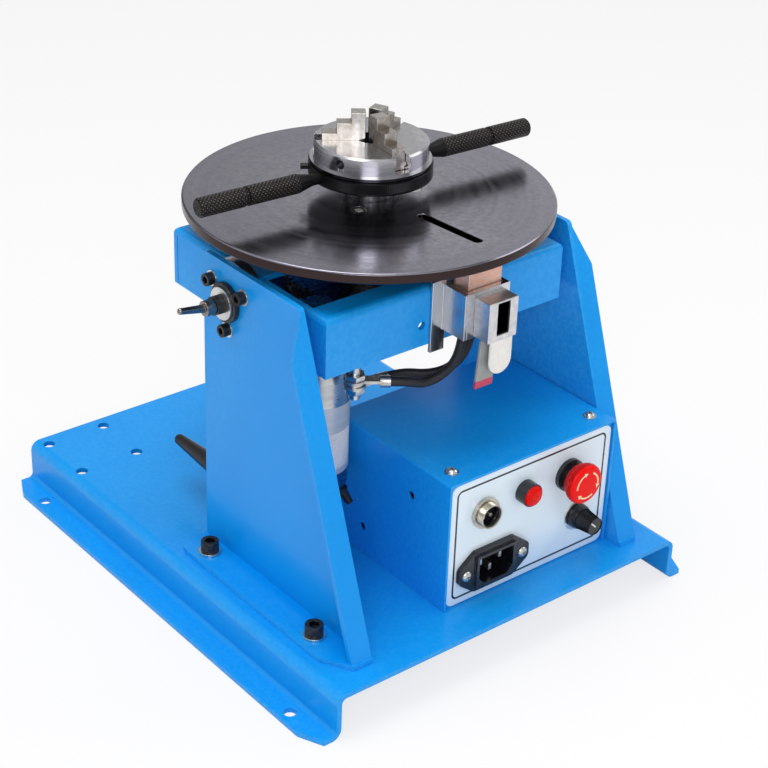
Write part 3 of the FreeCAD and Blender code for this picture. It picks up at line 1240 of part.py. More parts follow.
def scroll_ring():
    """The ring that drives the jaws, with its peg, and the two knurled lever bars."""
    ring = rod("0", AXIS_Y, RING_LOW, "ring_outer", "ring_height")
    bore = rod("0", AXIS_Y, RING_LOW, "chuck_hub + 2 * pivot_play", "ring_height")
    middle = "(%s + ring_height / 2)" % RING_LOW
    peg_x, peg_y = radial("peg_angle", "ring_outer / 2 - 2")
    peg = rod(peg_x, peg_y, middle, "peg", "peg_length + 2", outward("peg_angle"))
    bars, sockets = [], []
    for turn in (0, 180):
        angle = "(bar_angle + %d)" % turn
        start_x, start_y = radial(angle, "bar_start")
        sockets.append(rod(start_x, start_y, middle, "bar_neck", "ring_outer",
                           outward(angle)))
        neck = rod(start_x, start_y, middle, "bar_neck", "bar_neck_end - bar_start",
                   outward(angle))
        cone_x, cone_y = radial(angle, "bar_neck_end")
        cone = taper(cone_x, cone_y, middle, "bar_neck", "bar_thick",
                     "bar_taper_end - bar_neck_end", outward(angle))
        grip_x, grip_y = radial(angle, "bar_taper_end")
        grip = rod(grip_x, grip_y, middle, "bar_thick", "bar_end - 1 - bar_taper_end",
                   outward(angle))
        end_x, end_y = radial(angle, "bar_end - 1")
        end = taper(end_x, end_y, middle, "bar_thick", "bar_thick - 2", "1", outward(angle))
        groove_x, groove_y = radial(angle, "bar_groove - bar_groove_width / 2")
        groove = washer(groove_x, groove_y, middle, outward(angle), "bar_thick + 2",
                        "bar_thick - 2 * bar_groove_depth", "bar_groove_width")
        bars.append(cut(fuse(neck, cone, grip, end), groove))
    node("scroll_ring", cut(fuse(ring, peg), bore, *sockets))
    node("lever_bars", group(*bars))


tilt_frame()
pivot_studs()
clamp_stack()
clamp_lever()
bearing_housing()
bearings()
table_disc()
table_screws()
spindle()
gears()
motor_plate()
motor()
brush_bracket()
brush_holder()
brush()
clamp_box()
earth_cables()
tilt_handle()
chuck()
jaws()
scroll_ring()


# ---------------------------------------------------------------- control box
PANEL_Y = "(-box_front + cover_front)"
BOX_TOP = "(box_top - cover_sheet - box_play)"
SUPPLY_LOW = "(base_height + box_sheet)"


def panel_holes(sketch):
    """The five openings that the panel and the wall behind it share."""
    for name, across in (("pedal", "pedal_shell"), ("lamp", "lamp_body"),
                         ("stop", "stop_guide"), ("speed", "speed_bush")):
        circle(sketch, name + "_x", name + "_z", across + " + housing_hole_play")
    half_width = "(inlet_socket / 2 + inlet_wall + box_play)"
    half_height = "(inlet_socket_high / 2 + inlet_wall + box_play)"
    rectangle(sketch, "inlet_x - " + half_width, "inlet_z - " + half_height,
              "inlet_x + " + half_width, "inlet_z + " + half_height)
    for side in ("-", "+"):
        circle(sketch, "inlet_x %s inlet_pitch / 2" % side, "inlet_z",
               "small_screw + housing_hole_play")
    return sketch


def control_box():
    """Floor, front wall and vented back wall, with returns for the cover."""
    front = "(%s + panel_thick)" % PANEL_Y
    back = "-box_back"
    low, high = "base_height", BOX_TOP
    left = "-box_left + cover_sheet + box_play"
    right = "box_right - cover_sheet - box_play"
    body = new_body("ControlBox")
    side = flat_sketch(body, "YZ_Plane", left)
    polygon(side, [(front, low), (back, low), (back, high), (back + " - box_return", high),
                   (back + " - box_return", high + " - box_sheet"),
                   (back + " - box_sheet", high + " - box_sheet"),
                   (back + " - box_sheet", low + " + box_sheet"),
                   (front + " + box_sheet", low + " + box_sheet"),
                   (front + " + box_sheet", high + " - box_sheet"),
                   (front + " + box_return", high + " - box_sheet"),
                   (front + " + box_return", high), (front, high)])
    pad(body, side, "%s - (%s)" % (right, left))
    returns = flat_sketch(body, "XY_Plane", low)
    for near_y, far_y in ((front, front + " + box_return"),
                          (back + " - box_return", back)):
        rectangle(returns, left, near_y, left + " + box_sheet", far_y)
        rectangle(returns, right + " - box_sheet", near_y, right, far_y)
    pad(body, returns, "%s - base_height" % high)
    face = flat_sketch(body, "XZ_Plane", "box_front - cover_front - panel_thick")
    pocket(body, panel_holes(face), "box_sheet")
    vents = flat_sketch(body, "XZ_Plane", "box_back + box_sheet")
    middle = "(box_right - box_left) / 2"
    for number in range(-3, 4):
        x = "%s + (%d) * vent_pitch" % (middle, number)
        rectangle(vents, x + " - vent / 2", "base_height + vent_high / 2",
                  x + " + vent / 2", "base_height + vent_high * 1.5")
    pocket(body, vents, "box_sheet")
    top = flat_sketch(body, "XY_Plane", high)
    for x in cover_screw_places():
        circle(top, x, "%s + panel_thick + cover_screw_back" % PANEL_Y,
               "small_screw + housing_hole_play")
    pocket(body, top, "box_sheet")
    node("control_box", body)


def cover_screw_places():
    """Where the cover's two front screws stand along X."""
    return ["-box_left + cover_screw_in", "box_right - cover_screw_in"]


def control_cover():
    """Top and two sides folded from one sheet, standing a little proud of the panel."""
    body = new_body("ControlCover")
    shape = flat_sketch(body, "XZ_Plane", "box_front")
    low = "base_height + box_play"
    polygon(shape, [("-box_left", low), ("-box_left + cover_sheet", low),
                    ("-box_left + cover_sheet", "box_top - cover_sheet"),
                    ("box_right - cover_sheet", "box_top - cover_sheet"),
                    ("box_right - cover_sheet", low), ("box_right", low),
                    ("box_right", "box_top"), ("-box_left", "box_top")])
    sheet_pad = pad(body, shape, "box_front - box_back", back=True)
    top = size("box_top")
    left, right = -size("box_left"), size("box_right")

    def outer_bend(edge):
        points = [vertex.Point for vertex in edge.Vertexes]
        return (all(near(p.z, top) for p in points)
                and (all(near(p.x, left) for p in points)
                     or all(near(p.x, right) for p in points)))

    blend_edges(body, sheet_pad, "box_bend", outer_bend)
    side = flat_sketch(body, "YZ_Plane", "-box_left")
    circle(side, "-side_hole_front", "side_hole_high", "box_hole")
    circle(side, "-side_hole_back", "side_hole_low", "box_hole")
    pocket(body, side, "cover_sheet", back=True)
    holes = flat_sketch(body, "XY_Plane", "box_top")
    for x in cover_screw_places():
        circle(holes, x, "%s + panel_thick + cover_screw_back" % PANEL_Y,
               "small_screw + housing_hole_play")
    pocket(body, holes, "cover_sheet")
    node("control_cover", body)


def front_panel():
    """A thin face plate with round corners and the openings for the controls."""
    body = new_body("FrontPanel")
    face = flat_sketch(body, "XZ_Plane", "box_front - cover_front")
    low, high = "base_height + panel_inset", "%s - panel_inset" % BOX_TOP
    left = "-box_left + cover_sheet + panel_inset"
    right = "box_right - cover_sheet - panel_inset"
    rectangle(face, left, low, right, high)
    plate = pad(body, face, "panel_thick", back=True)

    def corner(edge):
        return runs_along(edge, 1)

    blend_edges(body, plate, "panel_corner", corner)
    holes = flat_sketch(body, "XZ_Plane", "box_front - cover_front")
    pocket(body, panel_holes(holes), "panel_thick")
    node("front_panel", body)


def power_inlet():
    """The mains inlet: flange, nose, recess and the body behind the panel."""
    body = new_body("PowerInlet")
    flange = flat_sketch(body, "XZ_Plane", "box_front - cover_front")
    tip, shoulder = ("inlet_width", "inlet_tip"), ("inlet_shoulder", "inlet_height")
    outline = [(tip, "-", "+"), (tip, "-", "-"), (shoulder, "-", "-"), (shoulder, "+", "-"),
               (tip, "+", "-"), (tip, "+", "+"), (shoulder, "+", "+"), (shoulder, "-", "+")]
    polygon(flange, [("inlet_x %s %s / 2" % (side, wide), "inlet_z %s %s / 2" % (rise, high))
                     for (wide, high), side, rise in outline])
    plate = pad(body, flange, "inlet_flange")

    def corner(edge):
        return runs_along(edge, 1)

    blend_edges(body, plate, "inlet_round", corner)
    for face, length, back in (("inlet_proud", "inlet_proud", True),
                               ("0", "inlet_socket_deep - inlet_proud + inlet_wall", True)):
        nose = flat_sketch(body, "XZ_Plane", "box_front - cover_front + " + face)
        rectangle(nose, "inlet_x - inlet_socket / 2 - inlet_wall",
                  "inlet_z - inlet_socket_high / 2 - inlet_wall",
                  "inlet_x + inlet_socket / 2 + inlet_wall",
                  "inlet_z + inlet_socket_high / 2 + inlet_wall")
        pad(body, nose, length, back=back)
    recess = flat_sketch(body, "XZ_Plane", "box_front - cover_front + inlet_proud")
    polygon(recess, [("inlet_x - inlet_socket / 2", "inlet_z + inlet_socket_high / 2"),
                     ("inlet_x - inlet_socket / 2",
                      "inlet_z - inlet_socket_high / 2 + inlet_socket_cut"),
                     ("inlet_x - inlet_socket / 2 + inlet_socket_cut",
                      "inlet_z - inlet_socket_high / 2"),
                     ("inlet_x + inlet_socket / 2 - inlet_socket_cut",
                      "inlet_z - inlet_socket_high / 2"),
                     ("inlet_x + inlet_socket / 2",
                      "inlet_z - inlet_socket_high / 2 + inlet_socket_cut"),
                     ("inlet_x + inlet_socket / 2", "inlet_z + inlet_socket_high / 2")])
    pocket(body, recess, "inlet_socket_deep")
    screws = flat_sketch(body, "XZ_Plane", "box_front - cover_front + inlet_flange")
    for side in ("-", "+"):
        circle(screws, "inlet_x %s inlet_pitch / 2" % side, "inlet_z",
               "small_screw + housing_hole_play")
    pocket(body, screws, "inlet_flange")
    node("power_inlet", body)


def connector_pins():
    """Three blades in the inlet and three round pins in the pedal socket."""
    floor = "(%s - inlet_proud + inlet_socket_deep)" % PANEL_Y
    pins = []
    for step, rise in ((-1, "+ blade_rise"), (0, "- blade_drop"), (1, "+ blade_rise")):
        pins.append(block("inlet_x + (%d) * blade_pitch - blade_thick / 2" % step,
                          floor + " - blade_length",
                          "inlet_z %s - blade / 2" % rise,
                          "blade_thick", "blade_length", "blade"))
    for turn in (90, 210, 330):
        pins.append(rod("pedal_x + pedal_pin_circle / 2 * cos(%d)" % turn,
                        "%s + pedal_floor" % PANEL_Y,
                        "pedal_z + pedal_pin_circle / 2 * sin(%d)" % turn,
                        "pedal_pin", "pedal_pin_length", TO_FRONT))
    node("connector_pins", group(*pins))


def pedal_socket():
    """The round threaded socket for the foot pedal."""
    shell = rod("pedal_x", "%s + pedal_deep" % PANEL_Y, "pedal_z", "pedal_shell",
                "pedal_deep + pedal_proud", TO_FRONT)
    nut = rod("pedal_x", PANEL_Y, "pedal_z", "pedal_nut", "pedal_nut_thick", TO_FRONT)
    bore = rod("pedal_x", "%s + pedal_floor" % PANEL_Y, "pedal_z", "pedal_bore",
               "pedal_floor + pedal_proud", TO_FRONT)
    node("pedal_socket", cut(fuse(shell, nut), bore))


def lamp():
    """The power lamp: a ring with a long body, and a domed lens."""
    ring = rod("lamp_x", PANEL_Y, "lamp_z", "lamp_bezel", "lamp_rise", TO_FRONT)
    case = rod("lamp_x", "%s + lamp_deep" % PANEL_Y, "lamp_z", "lamp_body", "lamp_deep",
               TO_FRONT)
    floor = "(%s - lamp_rise + lamp_seat)" % PANEL_Y
    seat = rod("lamp_x", floor, "lamp_z", "lamp_lens", "lamp_seat", TO_FRONT)
    node("lamp_bezel", cut(fuse(ring, case), seat))
    stub = rod("lamp_x", floor, "lamp_z", "lamp_lens", "lamp_seat + lamp_lens_proud / 2",
               TO_FRONT)
    dome = taper("lamp_x", "%s - lamp_rise - lamp_lens_proud / 2" % PANEL_Y, "lamp_z",
                 "lamp_lens", "lamp_lens - lamp_brow", "lamp_lens_proud / 2", TO_FRONT)
    node("lamp_lens", fuse(stub, dome))


def stop_switch():
    """The fixed part of the stop switch and the mushroom button that slides in it."""
    collar = rod("stop_x", PANEL_Y, "stop_z", "stop_collar", "stop_collar_high", TO_FRONT)
    guide = rod("stop_x", PANEL_Y, "stop_z", "stop_guide", "stop_guide_high", TO_FRONT)
    neck = rod("stop_x", "%s + panel_thick + box_sheet" % PANEL_Y, "stop_z", "stop_guide",
               "panel_thick + box_sheet", TO_FRONT)
    case = rod("stop_x", "%s + panel_thick + box_sheet + stop_body_deep" % PANEL_Y, "stop_z",
               "stop_body", "stop_body_deep", TO_FRONT)
    bore = rod("stop_x", "%s + panel_thick + stop_body_deep - 1" % PANEL_Y, "stop_z",
               "stop_stem + 2 * stop_play",
               "panel_thick + stop_body_deep - 1 + stop_guide_high", TO_FRONT)
    node("stop_collar", cut(fuse(collar, guide, neck, case), bore))
    head = rod("stop_x", "%s - stop_proud + stop_head_thick" % PANEL_Y, "stop_z", "stop_head",
               "stop_head_thick - 1.5", TO_FRONT)
    crown = taper("stop_x", "%s - stop_proud + 1.5" % PANEL_Y, "stop_z", "stop_head",
                  "stop_head - 5", "1.5", TO_FRONT)
    sleeve = rod("stop_x", "%s - stop_neck_back" % PANEL_Y, "stop_z", "stop_neck",
                 "stop_proud - stop_head_thick - stop_neck_back", TO_FRONT)
    hollow = rod("stop_x", "%s - stop_neck_back" % PANEL_Y, "stop_z",
                 "stop_guide + 2 * clamp_gap",
                 "stop_proud - stop_head_thick - stop_neck_back - 0.2", TO_FRONT)
    stem = rod("stop_x", "%s + stop_body_deep - 6" % PANEL_Y, "stop_z", "stop_stem",
               "stop_body_deep - 6 + stop_proud - stop_head_thick", TO_FRONT)
    node("stop_button", fuse(cut(fuse(head, crown, sleeve), hollow), stem))


def speed_dial():
    """The speed potentiometer with its bush and washer, and the knob that turns on it."""
    disc = rod("speed_x", PANEL_Y, "speed_z", "dial_washer", "dial_washer_thick", TO_FRONT)
    bush = rod("speed_x", "%s + panel_thick + box_sheet" % PANEL_Y, "speed_z", "speed_bush",
               "panel_thick + box_sheet + speed_bush_proud", TO_FRONT)
    case = rod("speed_x", "%s + panel_thick + box_sheet + speed_body_deep" % PANEL_Y,
               "speed_z", "speed_body", "speed_body_deep", TO_FRONT)
    node("speed_control", fuse(disc, bush, case))
    start = "(%s - dial_washer_thick - knob_gap)" % PANEL_Y
    skirt = rod("speed_x", start, "speed_z", "knob", "knob_skirt", TO_FRONT)
    grip = taper("speed_x", "%s - knob_skirt" % start, "speed_z", "knob - 1", "knob_tip",
                 "knob_length - knob_skirt", TO_FRONT)
    bore = rod("speed_x", start, "speed_z", "speed_bush + 2 * stop_play",
               "speed_bush_proud", TO_FRONT)
    node("speed_knob", cut(fuse(skirt, grip), bore))


def power_supply():
    """A vented sheet-metal supply on the floor of the box."""
    x, y = "supply_x - supply_width / 2", "-supply_back - supply_depth"
    outer = block(x, y, SUPPLY_LOW, "supply_width", "supply_depth", "supply_height")
    inner = block(x + " + supply_sheet", y + " + supply_sheet", SUPPLY_LOW + " + supply_sheet",
                  "supply_width - 2 * supply_sheet", "supply_depth - 2 * supply_sheet",
                  "supply_height - 2 * supply_sheet")
    slots = [block("supply_x - supply_width * 0.35", y + " + (%d) * vent_pitch * 0.8" % number,
                   SUPPLY_LOW + " + supply_height - supply_sheet", "supply_width * 0.7",
                   "vent", "supply_sheet") for number in range(1, 6)]
    node("power_supply", cut(outer, inner, *slots))


def panel_screws():
    """Two screws in the cover and two in the inlet's flange."""
    screws = [cap_screw(x, "%s + panel_thick + cover_screw_back" % PANEL_Y, "box_top", UP,
                        "small_screw", "small_head", "small_head_height", "6")
              for x in cover_screw_places()]
    screws += [cap_screw("inlet_x %s inlet_pitch / 2" % side,
                         "%s - inlet_flange" % PANEL_Y, "inlet_z", TO_FRONT, "small_screw",
                         "small_head", "small_head_height", "8") for side in ("-", "+")]
    node("panel_screws", group(*screws))


control_box()
control_cover()
front_panel()
power_inlet()
connector_pins()
pedal_socket()
lamp()
stop_switch()
speed_dial()
power_supply()
panel_screws()


# ---------------------------------------------------------------- check and write
doc.recompute()
failed = [thing.Label for thing in doc.Objects
          if "Invalid" in thing.State or "Error" in thing.State]
if failed:
    raise SystemExit("failed: " + ", ".join(failed))
for label, thing in NODES.items():
    if thing.Shape.isNull() or not thing.Shape.isValid() or not thing.Shape.Solids:
        raise SystemExit("bad shape: " + label)
os.makedirs("parts", exist_ok=True)
for label, thing in NODES.items():
    thing.Shape.exportStep("parts/%s.step" % label)
    print("%-22s %3d solids %12.1f mm3" % (label, len(thing.Shape.Solids), thing.Shape.Volume))
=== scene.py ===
"""Looks of a benchtop welding positioner: finishes, turned and moulded pieces, and the studio."""
import json
import math

import bpy
from mathutils import Matrix, Vector

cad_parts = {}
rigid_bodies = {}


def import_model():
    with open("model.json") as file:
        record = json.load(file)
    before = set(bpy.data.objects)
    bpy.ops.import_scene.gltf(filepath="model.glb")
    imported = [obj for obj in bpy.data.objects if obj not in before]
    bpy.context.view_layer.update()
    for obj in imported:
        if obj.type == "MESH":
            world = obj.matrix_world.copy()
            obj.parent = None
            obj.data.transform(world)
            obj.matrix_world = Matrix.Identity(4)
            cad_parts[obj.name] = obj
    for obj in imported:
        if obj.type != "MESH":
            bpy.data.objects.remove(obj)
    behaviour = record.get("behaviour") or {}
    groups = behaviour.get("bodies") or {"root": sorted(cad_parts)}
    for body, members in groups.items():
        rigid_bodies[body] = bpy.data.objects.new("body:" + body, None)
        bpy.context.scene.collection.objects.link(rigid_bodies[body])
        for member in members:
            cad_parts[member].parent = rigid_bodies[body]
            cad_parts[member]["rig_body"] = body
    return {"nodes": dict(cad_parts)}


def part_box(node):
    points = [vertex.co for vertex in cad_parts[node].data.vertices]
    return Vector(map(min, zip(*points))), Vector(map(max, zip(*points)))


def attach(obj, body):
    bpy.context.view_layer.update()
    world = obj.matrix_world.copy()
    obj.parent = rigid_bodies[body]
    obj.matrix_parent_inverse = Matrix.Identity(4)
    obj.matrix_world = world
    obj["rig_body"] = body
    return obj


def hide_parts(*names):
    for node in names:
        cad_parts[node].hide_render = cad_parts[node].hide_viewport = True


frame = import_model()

MM = 0.001
FULL_TURN = math.tau
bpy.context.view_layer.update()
TO_FRONT = Vector((0, -1, 0))
UP = Vector((0, 0, 1))


# ---------------------------------------------------------------- camera
CAMERA_PLACE = (-0.5938, -0.7446, 0.6309)
CAMERA_YAW, CAMERA_PITCH, CAMERA_ROLL = 39.9, 29.2, 2.2
LENS, FILM = 89.7, 36


def place_camera():
    """A long lens from the front left, a little above the table, held slightly off level."""
    yaw, pitch, roll = map(math.radians, (CAMERA_YAW, CAMERA_PITCH, CAMERA_ROLL))
    ahead = Vector((math.sin(yaw) * math.cos(pitch), math.cos(yaw) * math.cos(pitch),
                    -math.sin(pitch)))
    level = Vector((math.cos(yaw), -math.sin(yaw), 0))
    upright = level.cross(ahead)
    right = level * math.cos(roll) + upright * math.sin(roll)
    above = upright * math.cos(roll) - level * math.sin(roll)
    data = bpy.data.cameras.new("camera")
    data.lens = LENS
    data.sensor_width = FILM
    data.clip_start = 0.01
    camera = bpy.data.objects.new("camera", data)
    bpy.context.scene.collection.objects.link(camera)
    turn = Matrix((right, above, -ahead)).transposed()
    camera.matrix_world = Matrix.Translation(CAMERA_PLACE) @ turn.to_4x4()
    bpy.context.scene.camera = camera


# ---------------------------------------------------------------- node helpers
def linear(red, green, blue):
    """A screen colour, 0 to 255, as the shader's linear colour."""
    def channel(level):
        """One channel, by the sRGB curve."""
        level /= 255
        return level / 12.92 if level <= 0.04045 else ((level + 0.055) / 1.055) ** 2.4
    return channel(red), channel(green), channel(blue), 1.0


def feed(tree, target, source):
    """Link a socket, or set a plain value."""
    if isinstance(source, bpy.types.NodeSocket):
        tree.links.new(source, target)
    else:
        target.default_value = source


def sums(tree, operation, *values):
    """One step of arithmetic."""
    node = tree.nodes.new("ShaderNodeMath")
    node.operation = operation
    for target, value in zip(node.inputs, values):
        feed(tree, target, value)
    return node.outputs[0]


def vectors(tree, operation, first, second):
    """One step of vector arithmetic."""
    node = tree.nodes.new("ShaderNodeVectorMath")
    node.operation = operation
    feed(tree, node.inputs[0], first)
    feed(tree, node.inputs[1], second)
    return node.outputs["Value" if operation in ("LENGTH", "DOT_PRODUCT") else "Vector"]


def split(tree, vector):
    """The three parts of a vector."""
    node = tree.nodes.new("ShaderNodeSeparateXYZ")
    tree.links.new(vector, node.inputs[0])
    return node.outputs


def join(tree, x, y, z):
    """A vector from three parts."""
    node = tree.nodes.new("ShaderNodeCombineXYZ")
    for target, value in zip(node.inputs, (x, y, z)):
        feed(tree, target, value)
    return node.outputs[0]


def spread(tree, value, low, high, new_low=0.0, new_high=1.0):
    """Stretch a range of values to a new one, clamped."""
    node = tree.nodes.new("ShaderNodeMapRange")
    for name, number in (("Value", value), ("From Min", low), ("From Max", high),
                         ("To Min", new_low), ("To Max", new_high)):
        feed(tree, node.inputs[name], number)
    return node.outputs["Result"]


def speckle(tree, vector, scale, detail=3.0, rough=0.5):
    """Noise at a scale, from 0 to 1."""
    node = tree.nodes.new("ShaderNodeTexNoise")
    tree.links.new(vector, node.inputs["Vector"])
    feed(tree, node.inputs["Scale"], scale)
    feed(tree, node.inputs["Detail"], detail)
    feed(tree, node.inputs["Roughness"], rough)
    return node.outputs["Fac"]


def tint(tree, amount, first, second):
    """A mix of two colours."""
    node = tree.nodes.new("ShaderNodeMix")
    node.data_type = "RGBA"
    feed(tree, node.inputs["Factor"], amount)
    feed(tree, node.inputs["A"], first)
    feed(tree, node.inputs["B"], second)
    return node.outputs["Result"]


def here(tree):
    """Object coordinates, in metres."""
    return tree.nodes.new("ShaderNodeTexCoord").outputs["Object"]


def new_group(name, inputs, outputs):
    """An empty node group with named float or vector inputs and float outputs."""
    tree = bpy.data.node_groups.new(name, "ShaderNodeTree")
    for label, kind in inputs:
        tree.interface.new_socket(name=label, in_out="INPUT", socket_type="NodeSocket" + kind)
    for label in outputs:
        tree.interface.new_socket(name=label, in_out="OUTPUT", socket_type="NodeSocketFloat")
    ends = tree.nodes.new("NodeGroupInput").outputs, tree.nodes.new("NodeGroupOutput").inputs
    return tree, *ends


def use(tree, group, **values):
    """Place a group in a material, with its values, and give its outputs."""
    node = tree.nodes.new("ShaderNodeGroup")
    node.node_tree = group
    for name, value in values.items():
        feed(tree, node.inputs[name.replace("_", " ")], value)
    return node.outputs


# ---------------------------------------------------------------- shared surface effects
def build_sprayed_skin():
    """Powder coat: a fine orange peel with a slow drift in tone."""
    tree, given, wanted = new_group("sprayed skin", [("Peel Size", "Float"),
                                                     ("Drift Size", "Float")],
                                    ["Height", "Drift"])
    spot = here(tree)
    peel = speckle(tree, spot, sums(tree, "DIVIDE", 1.0, given["Peel Size"]), 2.0)
    drift = speckle(tree, spot, sums(tree, "DIVIDE", 1.0, given["Drift Size"]), 2.0)
    tree.links.new(peel, wanted["Height"])
    tree.links.new(spread(tree, drift, 0.3, 0.7), wanted["Drift"])
    return tree


def build_turned_lines():
    """Lathe marks: rings of uneven height round an upright axis."""
    tree, given, wanted = new_group("turned lines", [("Axis X", "Float"), ("Axis Y", "Float"),
                                                     ("Ring Width", "Float")],
                                    ["Height", "Tone"])
    x, y, z = split(tree, here(tree))
    across = join(tree, sums(tree, "SUBTRACT", x, given["Axis X"]),
                  sums(tree, "SUBTRACT", y, given["Axis Y"]), 0.0)
    radius = vectors(tree, "LENGTH", across, (0, 0, 0))
    rings = join(tree, sums(tree, "DIVIDE", radius, given["Ring Width"]), 0.0,
                 sums(tree, "DIVIDE", z, given["Ring Width"]))
    fine = speckle(tree, rings, 1.0, 3.0, 0.7)
    broad = speckle(tree, rings, 0.11, 2.0, 0.5)
    tree.links.new(fine, wanted["Height"])
    tree.links.new(spread(tree, broad, 0.3, 0.7), wanted["Tone"])
    return tree


def build_drawn_lines():
    """Rolled or ground metal: long streaks along one direction."""
    tree, given, wanted = new_group("drawn lines", [("Stretch", "Vector")],
                                    ["Height", "Tone"])
    spot = vectors(tree, "MULTIPLY", here(tree), given["Stretch"])
    tree.links.new(speckle(tree, spot, 1.0, 4.0, 0.65), wanted["Height"])
    tree.links.new(spread(tree, speckle(tree, spot, 0.22, 2.0), 0.3, 0.7), wanted["Tone"])
    return tree


def build_worn_and_highlit_edges():
    """Where edges stand out: a paler edge that is partly wear, where the finish is thinnest, and
    partly a painted highlight.
    """
    tree, given, wanted = new_group("worn and highlit edges", [("Amount", "Float")], ["Mask"])
    sharp = tree.nodes.new("ShaderNodeNewGeometry").outputs["Pointiness"]
    edge = spread(tree, sharp, 0.51, 0.58)
    broken = spread(tree, speckle(tree, here(tree), 420.0, 3.0), 0.35, 0.65, 0.25, 1.0)
    mask = sums(tree, "MULTIPLY", sums(tree, "MULTIPLY", edge, broken), given["Amount"])
    tree.links.new(mask, wanted["Mask"])
    return tree


def build_cross_knurl():
    """Diamond knurling from a distance along and an angle round a bar."""
    tree, given, wanted = new_group("cross knurl", [("Along", "Float"), ("Around", "Float"),
                                                    ("Pitch", "Float"), ("Starts", "Float")],
                                    ["Height"])
    lead = sums(tree, "DIVIDE", given["Along"], given["Pitch"])
    turns = sums(tree, "MULTIPLY", sums(tree, "DIVIDE", given["Around"], FULL_TURN),
                 given["Starts"])
    ridges = [sums(tree, "PINGPONG", sums(tree, step, lead, turns), 0.5)
              for step in ("ADD", "SUBTRACT")]
    height = sums(tree, "MINIMUM", *ridges)
    tree.links.new(sums(tree, "MULTIPLY", height, 2.0), wanted["Height"])
    return tree


SPRAYED_SKIN = build_sprayed_skin()
TURNED_LINES = build_turned_lines()
DRAWN_LINES = build_drawn_lines()
WORN_AND_HIGHLIT_EDGES = build_worn_and_highlit_edges()
CROSS_KNURL = build_cross_knurl()


# ---------------------------------------------------------------- finishes
def new_finish(name, roughness, metallic=0.0, coat=0.0, coat_roughness=0.08, specular=0.5):
    """A material with one Principled shader set to plain values."""
    finish = bpy.data.materials.new(name)
    finish.use_nodes = True
    tree = finish.node_tree
    shader = tree.nodes["Principled BSDF"]
    for label, number in (("Roughness", roughness), ("Metallic", metallic),
                          ("Coat Weight", coat), ("Coat Roughness", coat_roughness),
                          ("Specular IOR Level", specular)):
        shader.inputs[label].default_value = number
    return finish, tree, shader


def raise_surface(tree, shader, height, distance, strength=1.0):
    """Feed a height to the shader's normal through a bump."""
    bump = tree.nodes.new("ShaderNodeBump")
    bump.inputs["Strength"].default_value = strength
    bump.inputs["Distance"].default_value = distance
    tree.links.new(height, bump.inputs["Height"])
    tree.links.new(bump.outputs["Normal"], shader.inputs["Normal"])


def sprayed(name, colour, deep, worn_edge_highlight_colour):
    """Glossy powder coat over steel."""
    finish, tree, shader = new_finish(name, 0.28, coat=0.08, coat_roughness=0.1,
                                      specular=0.24)
    skin = use(tree, SPRAYED_SKIN, Peel_Size=1.1 * MM, Drift_Size=70 * MM)
    edge_wear_and_highlight = use(tree, WORN_AND_HIGHLIT_EDGES, Amount=0.5)
    tone = tint(tree, skin["Drift"], colour, deep)
    # Edges are tinted paler: partly edge wear, partly a painted highlight.
    feed(tree, shader.inputs["Base Color"], tint(tree, edge_wear_and_highlight["Mask"], tone, worn_edge_highlight_colour))
    raise_surface(tree, shader, skin["Height"], 0.05 * MM, 0.35)
    return finish


def turned(name, colour, dark, roughness, centre, ring_width=0.35 * MM, depth=0.03 * MM,
           metallic=1.0, strength=0.5):
    """Metal turned on a lathe, marked with rings round an upright axis."""
    finish, tree, shader = new_finish(name, roughness, metallic)
    marks = use(tree, TURNED_LINES, Axis_X=centre[0], Axis_Y=centre[1], Ring_Width=ring_width)
    edge_wear_and_highlight = use(tree, WORN_AND_HIGHLIT_EDGES, Amount=0.6)
    tone = tint(tree, marks["Tone"], colour, dark)
    # Edges are tinted paler: partly edge wear, partly a painted highlight.
    feed(tree, shader.inputs["Base Color"],
         tint(tree, edge_wear_and_highlight["Mask"], tone, linear(214, 214, 216)))
    feed(tree, shader.inputs["Roughness"],
         spread(tree, marks["Tone"], 0.0, 1.0, roughness, roughness + 0.1))
    raise_surface(tree, shader, marks["Height"], depth, strength)
    return finish


def drawn(name, colour, dark, roughness, stretch, metallic=1.0):
    """Rolled or ground metal with fine straight streaks."""
    finish, tree, shader = new_finish(name, roughness, metallic)
    streaks = use(tree, DRAWN_LINES, Stretch=stretch)
    edge_wear_and_highlight = use(tree, WORN_AND_HIGHLIT_EDGES, Amount=0.5)
    tone = tint(tree, streaks["Tone"], colour, dark)
    # Edges are tinted paler: partly edge wear, partly a painted highlight.
    feed(tree, shader.inputs["Base Color"],
         tint(tree, edge_wear_and_highlight["Mask"], tone, linear(222, 222, 224)))
    feed(tree, shader.inputs["Roughness"],
         spread(tree, streaks["Tone"], 0.0, 1.0, roughness - 0.04, roughness + 0.1))
    raise_surface(tree, shader, streaks["Height"], 0.03 * MM, 0.4)
    return finish


def darker_below(finish, level, colour):
    """The same finish in a darker tone below a level."""
    tree = finish.node_tree
    target = tree.nodes["Principled BSDF"].inputs["Base Color"]
    source = target.links[0].from_socket
    height = split(tree, here(tree))[2]
    feed(tree, target,
         tint(tree, spread(tree, height, level - 0.15 * MM, level), colour, source))
    return finish


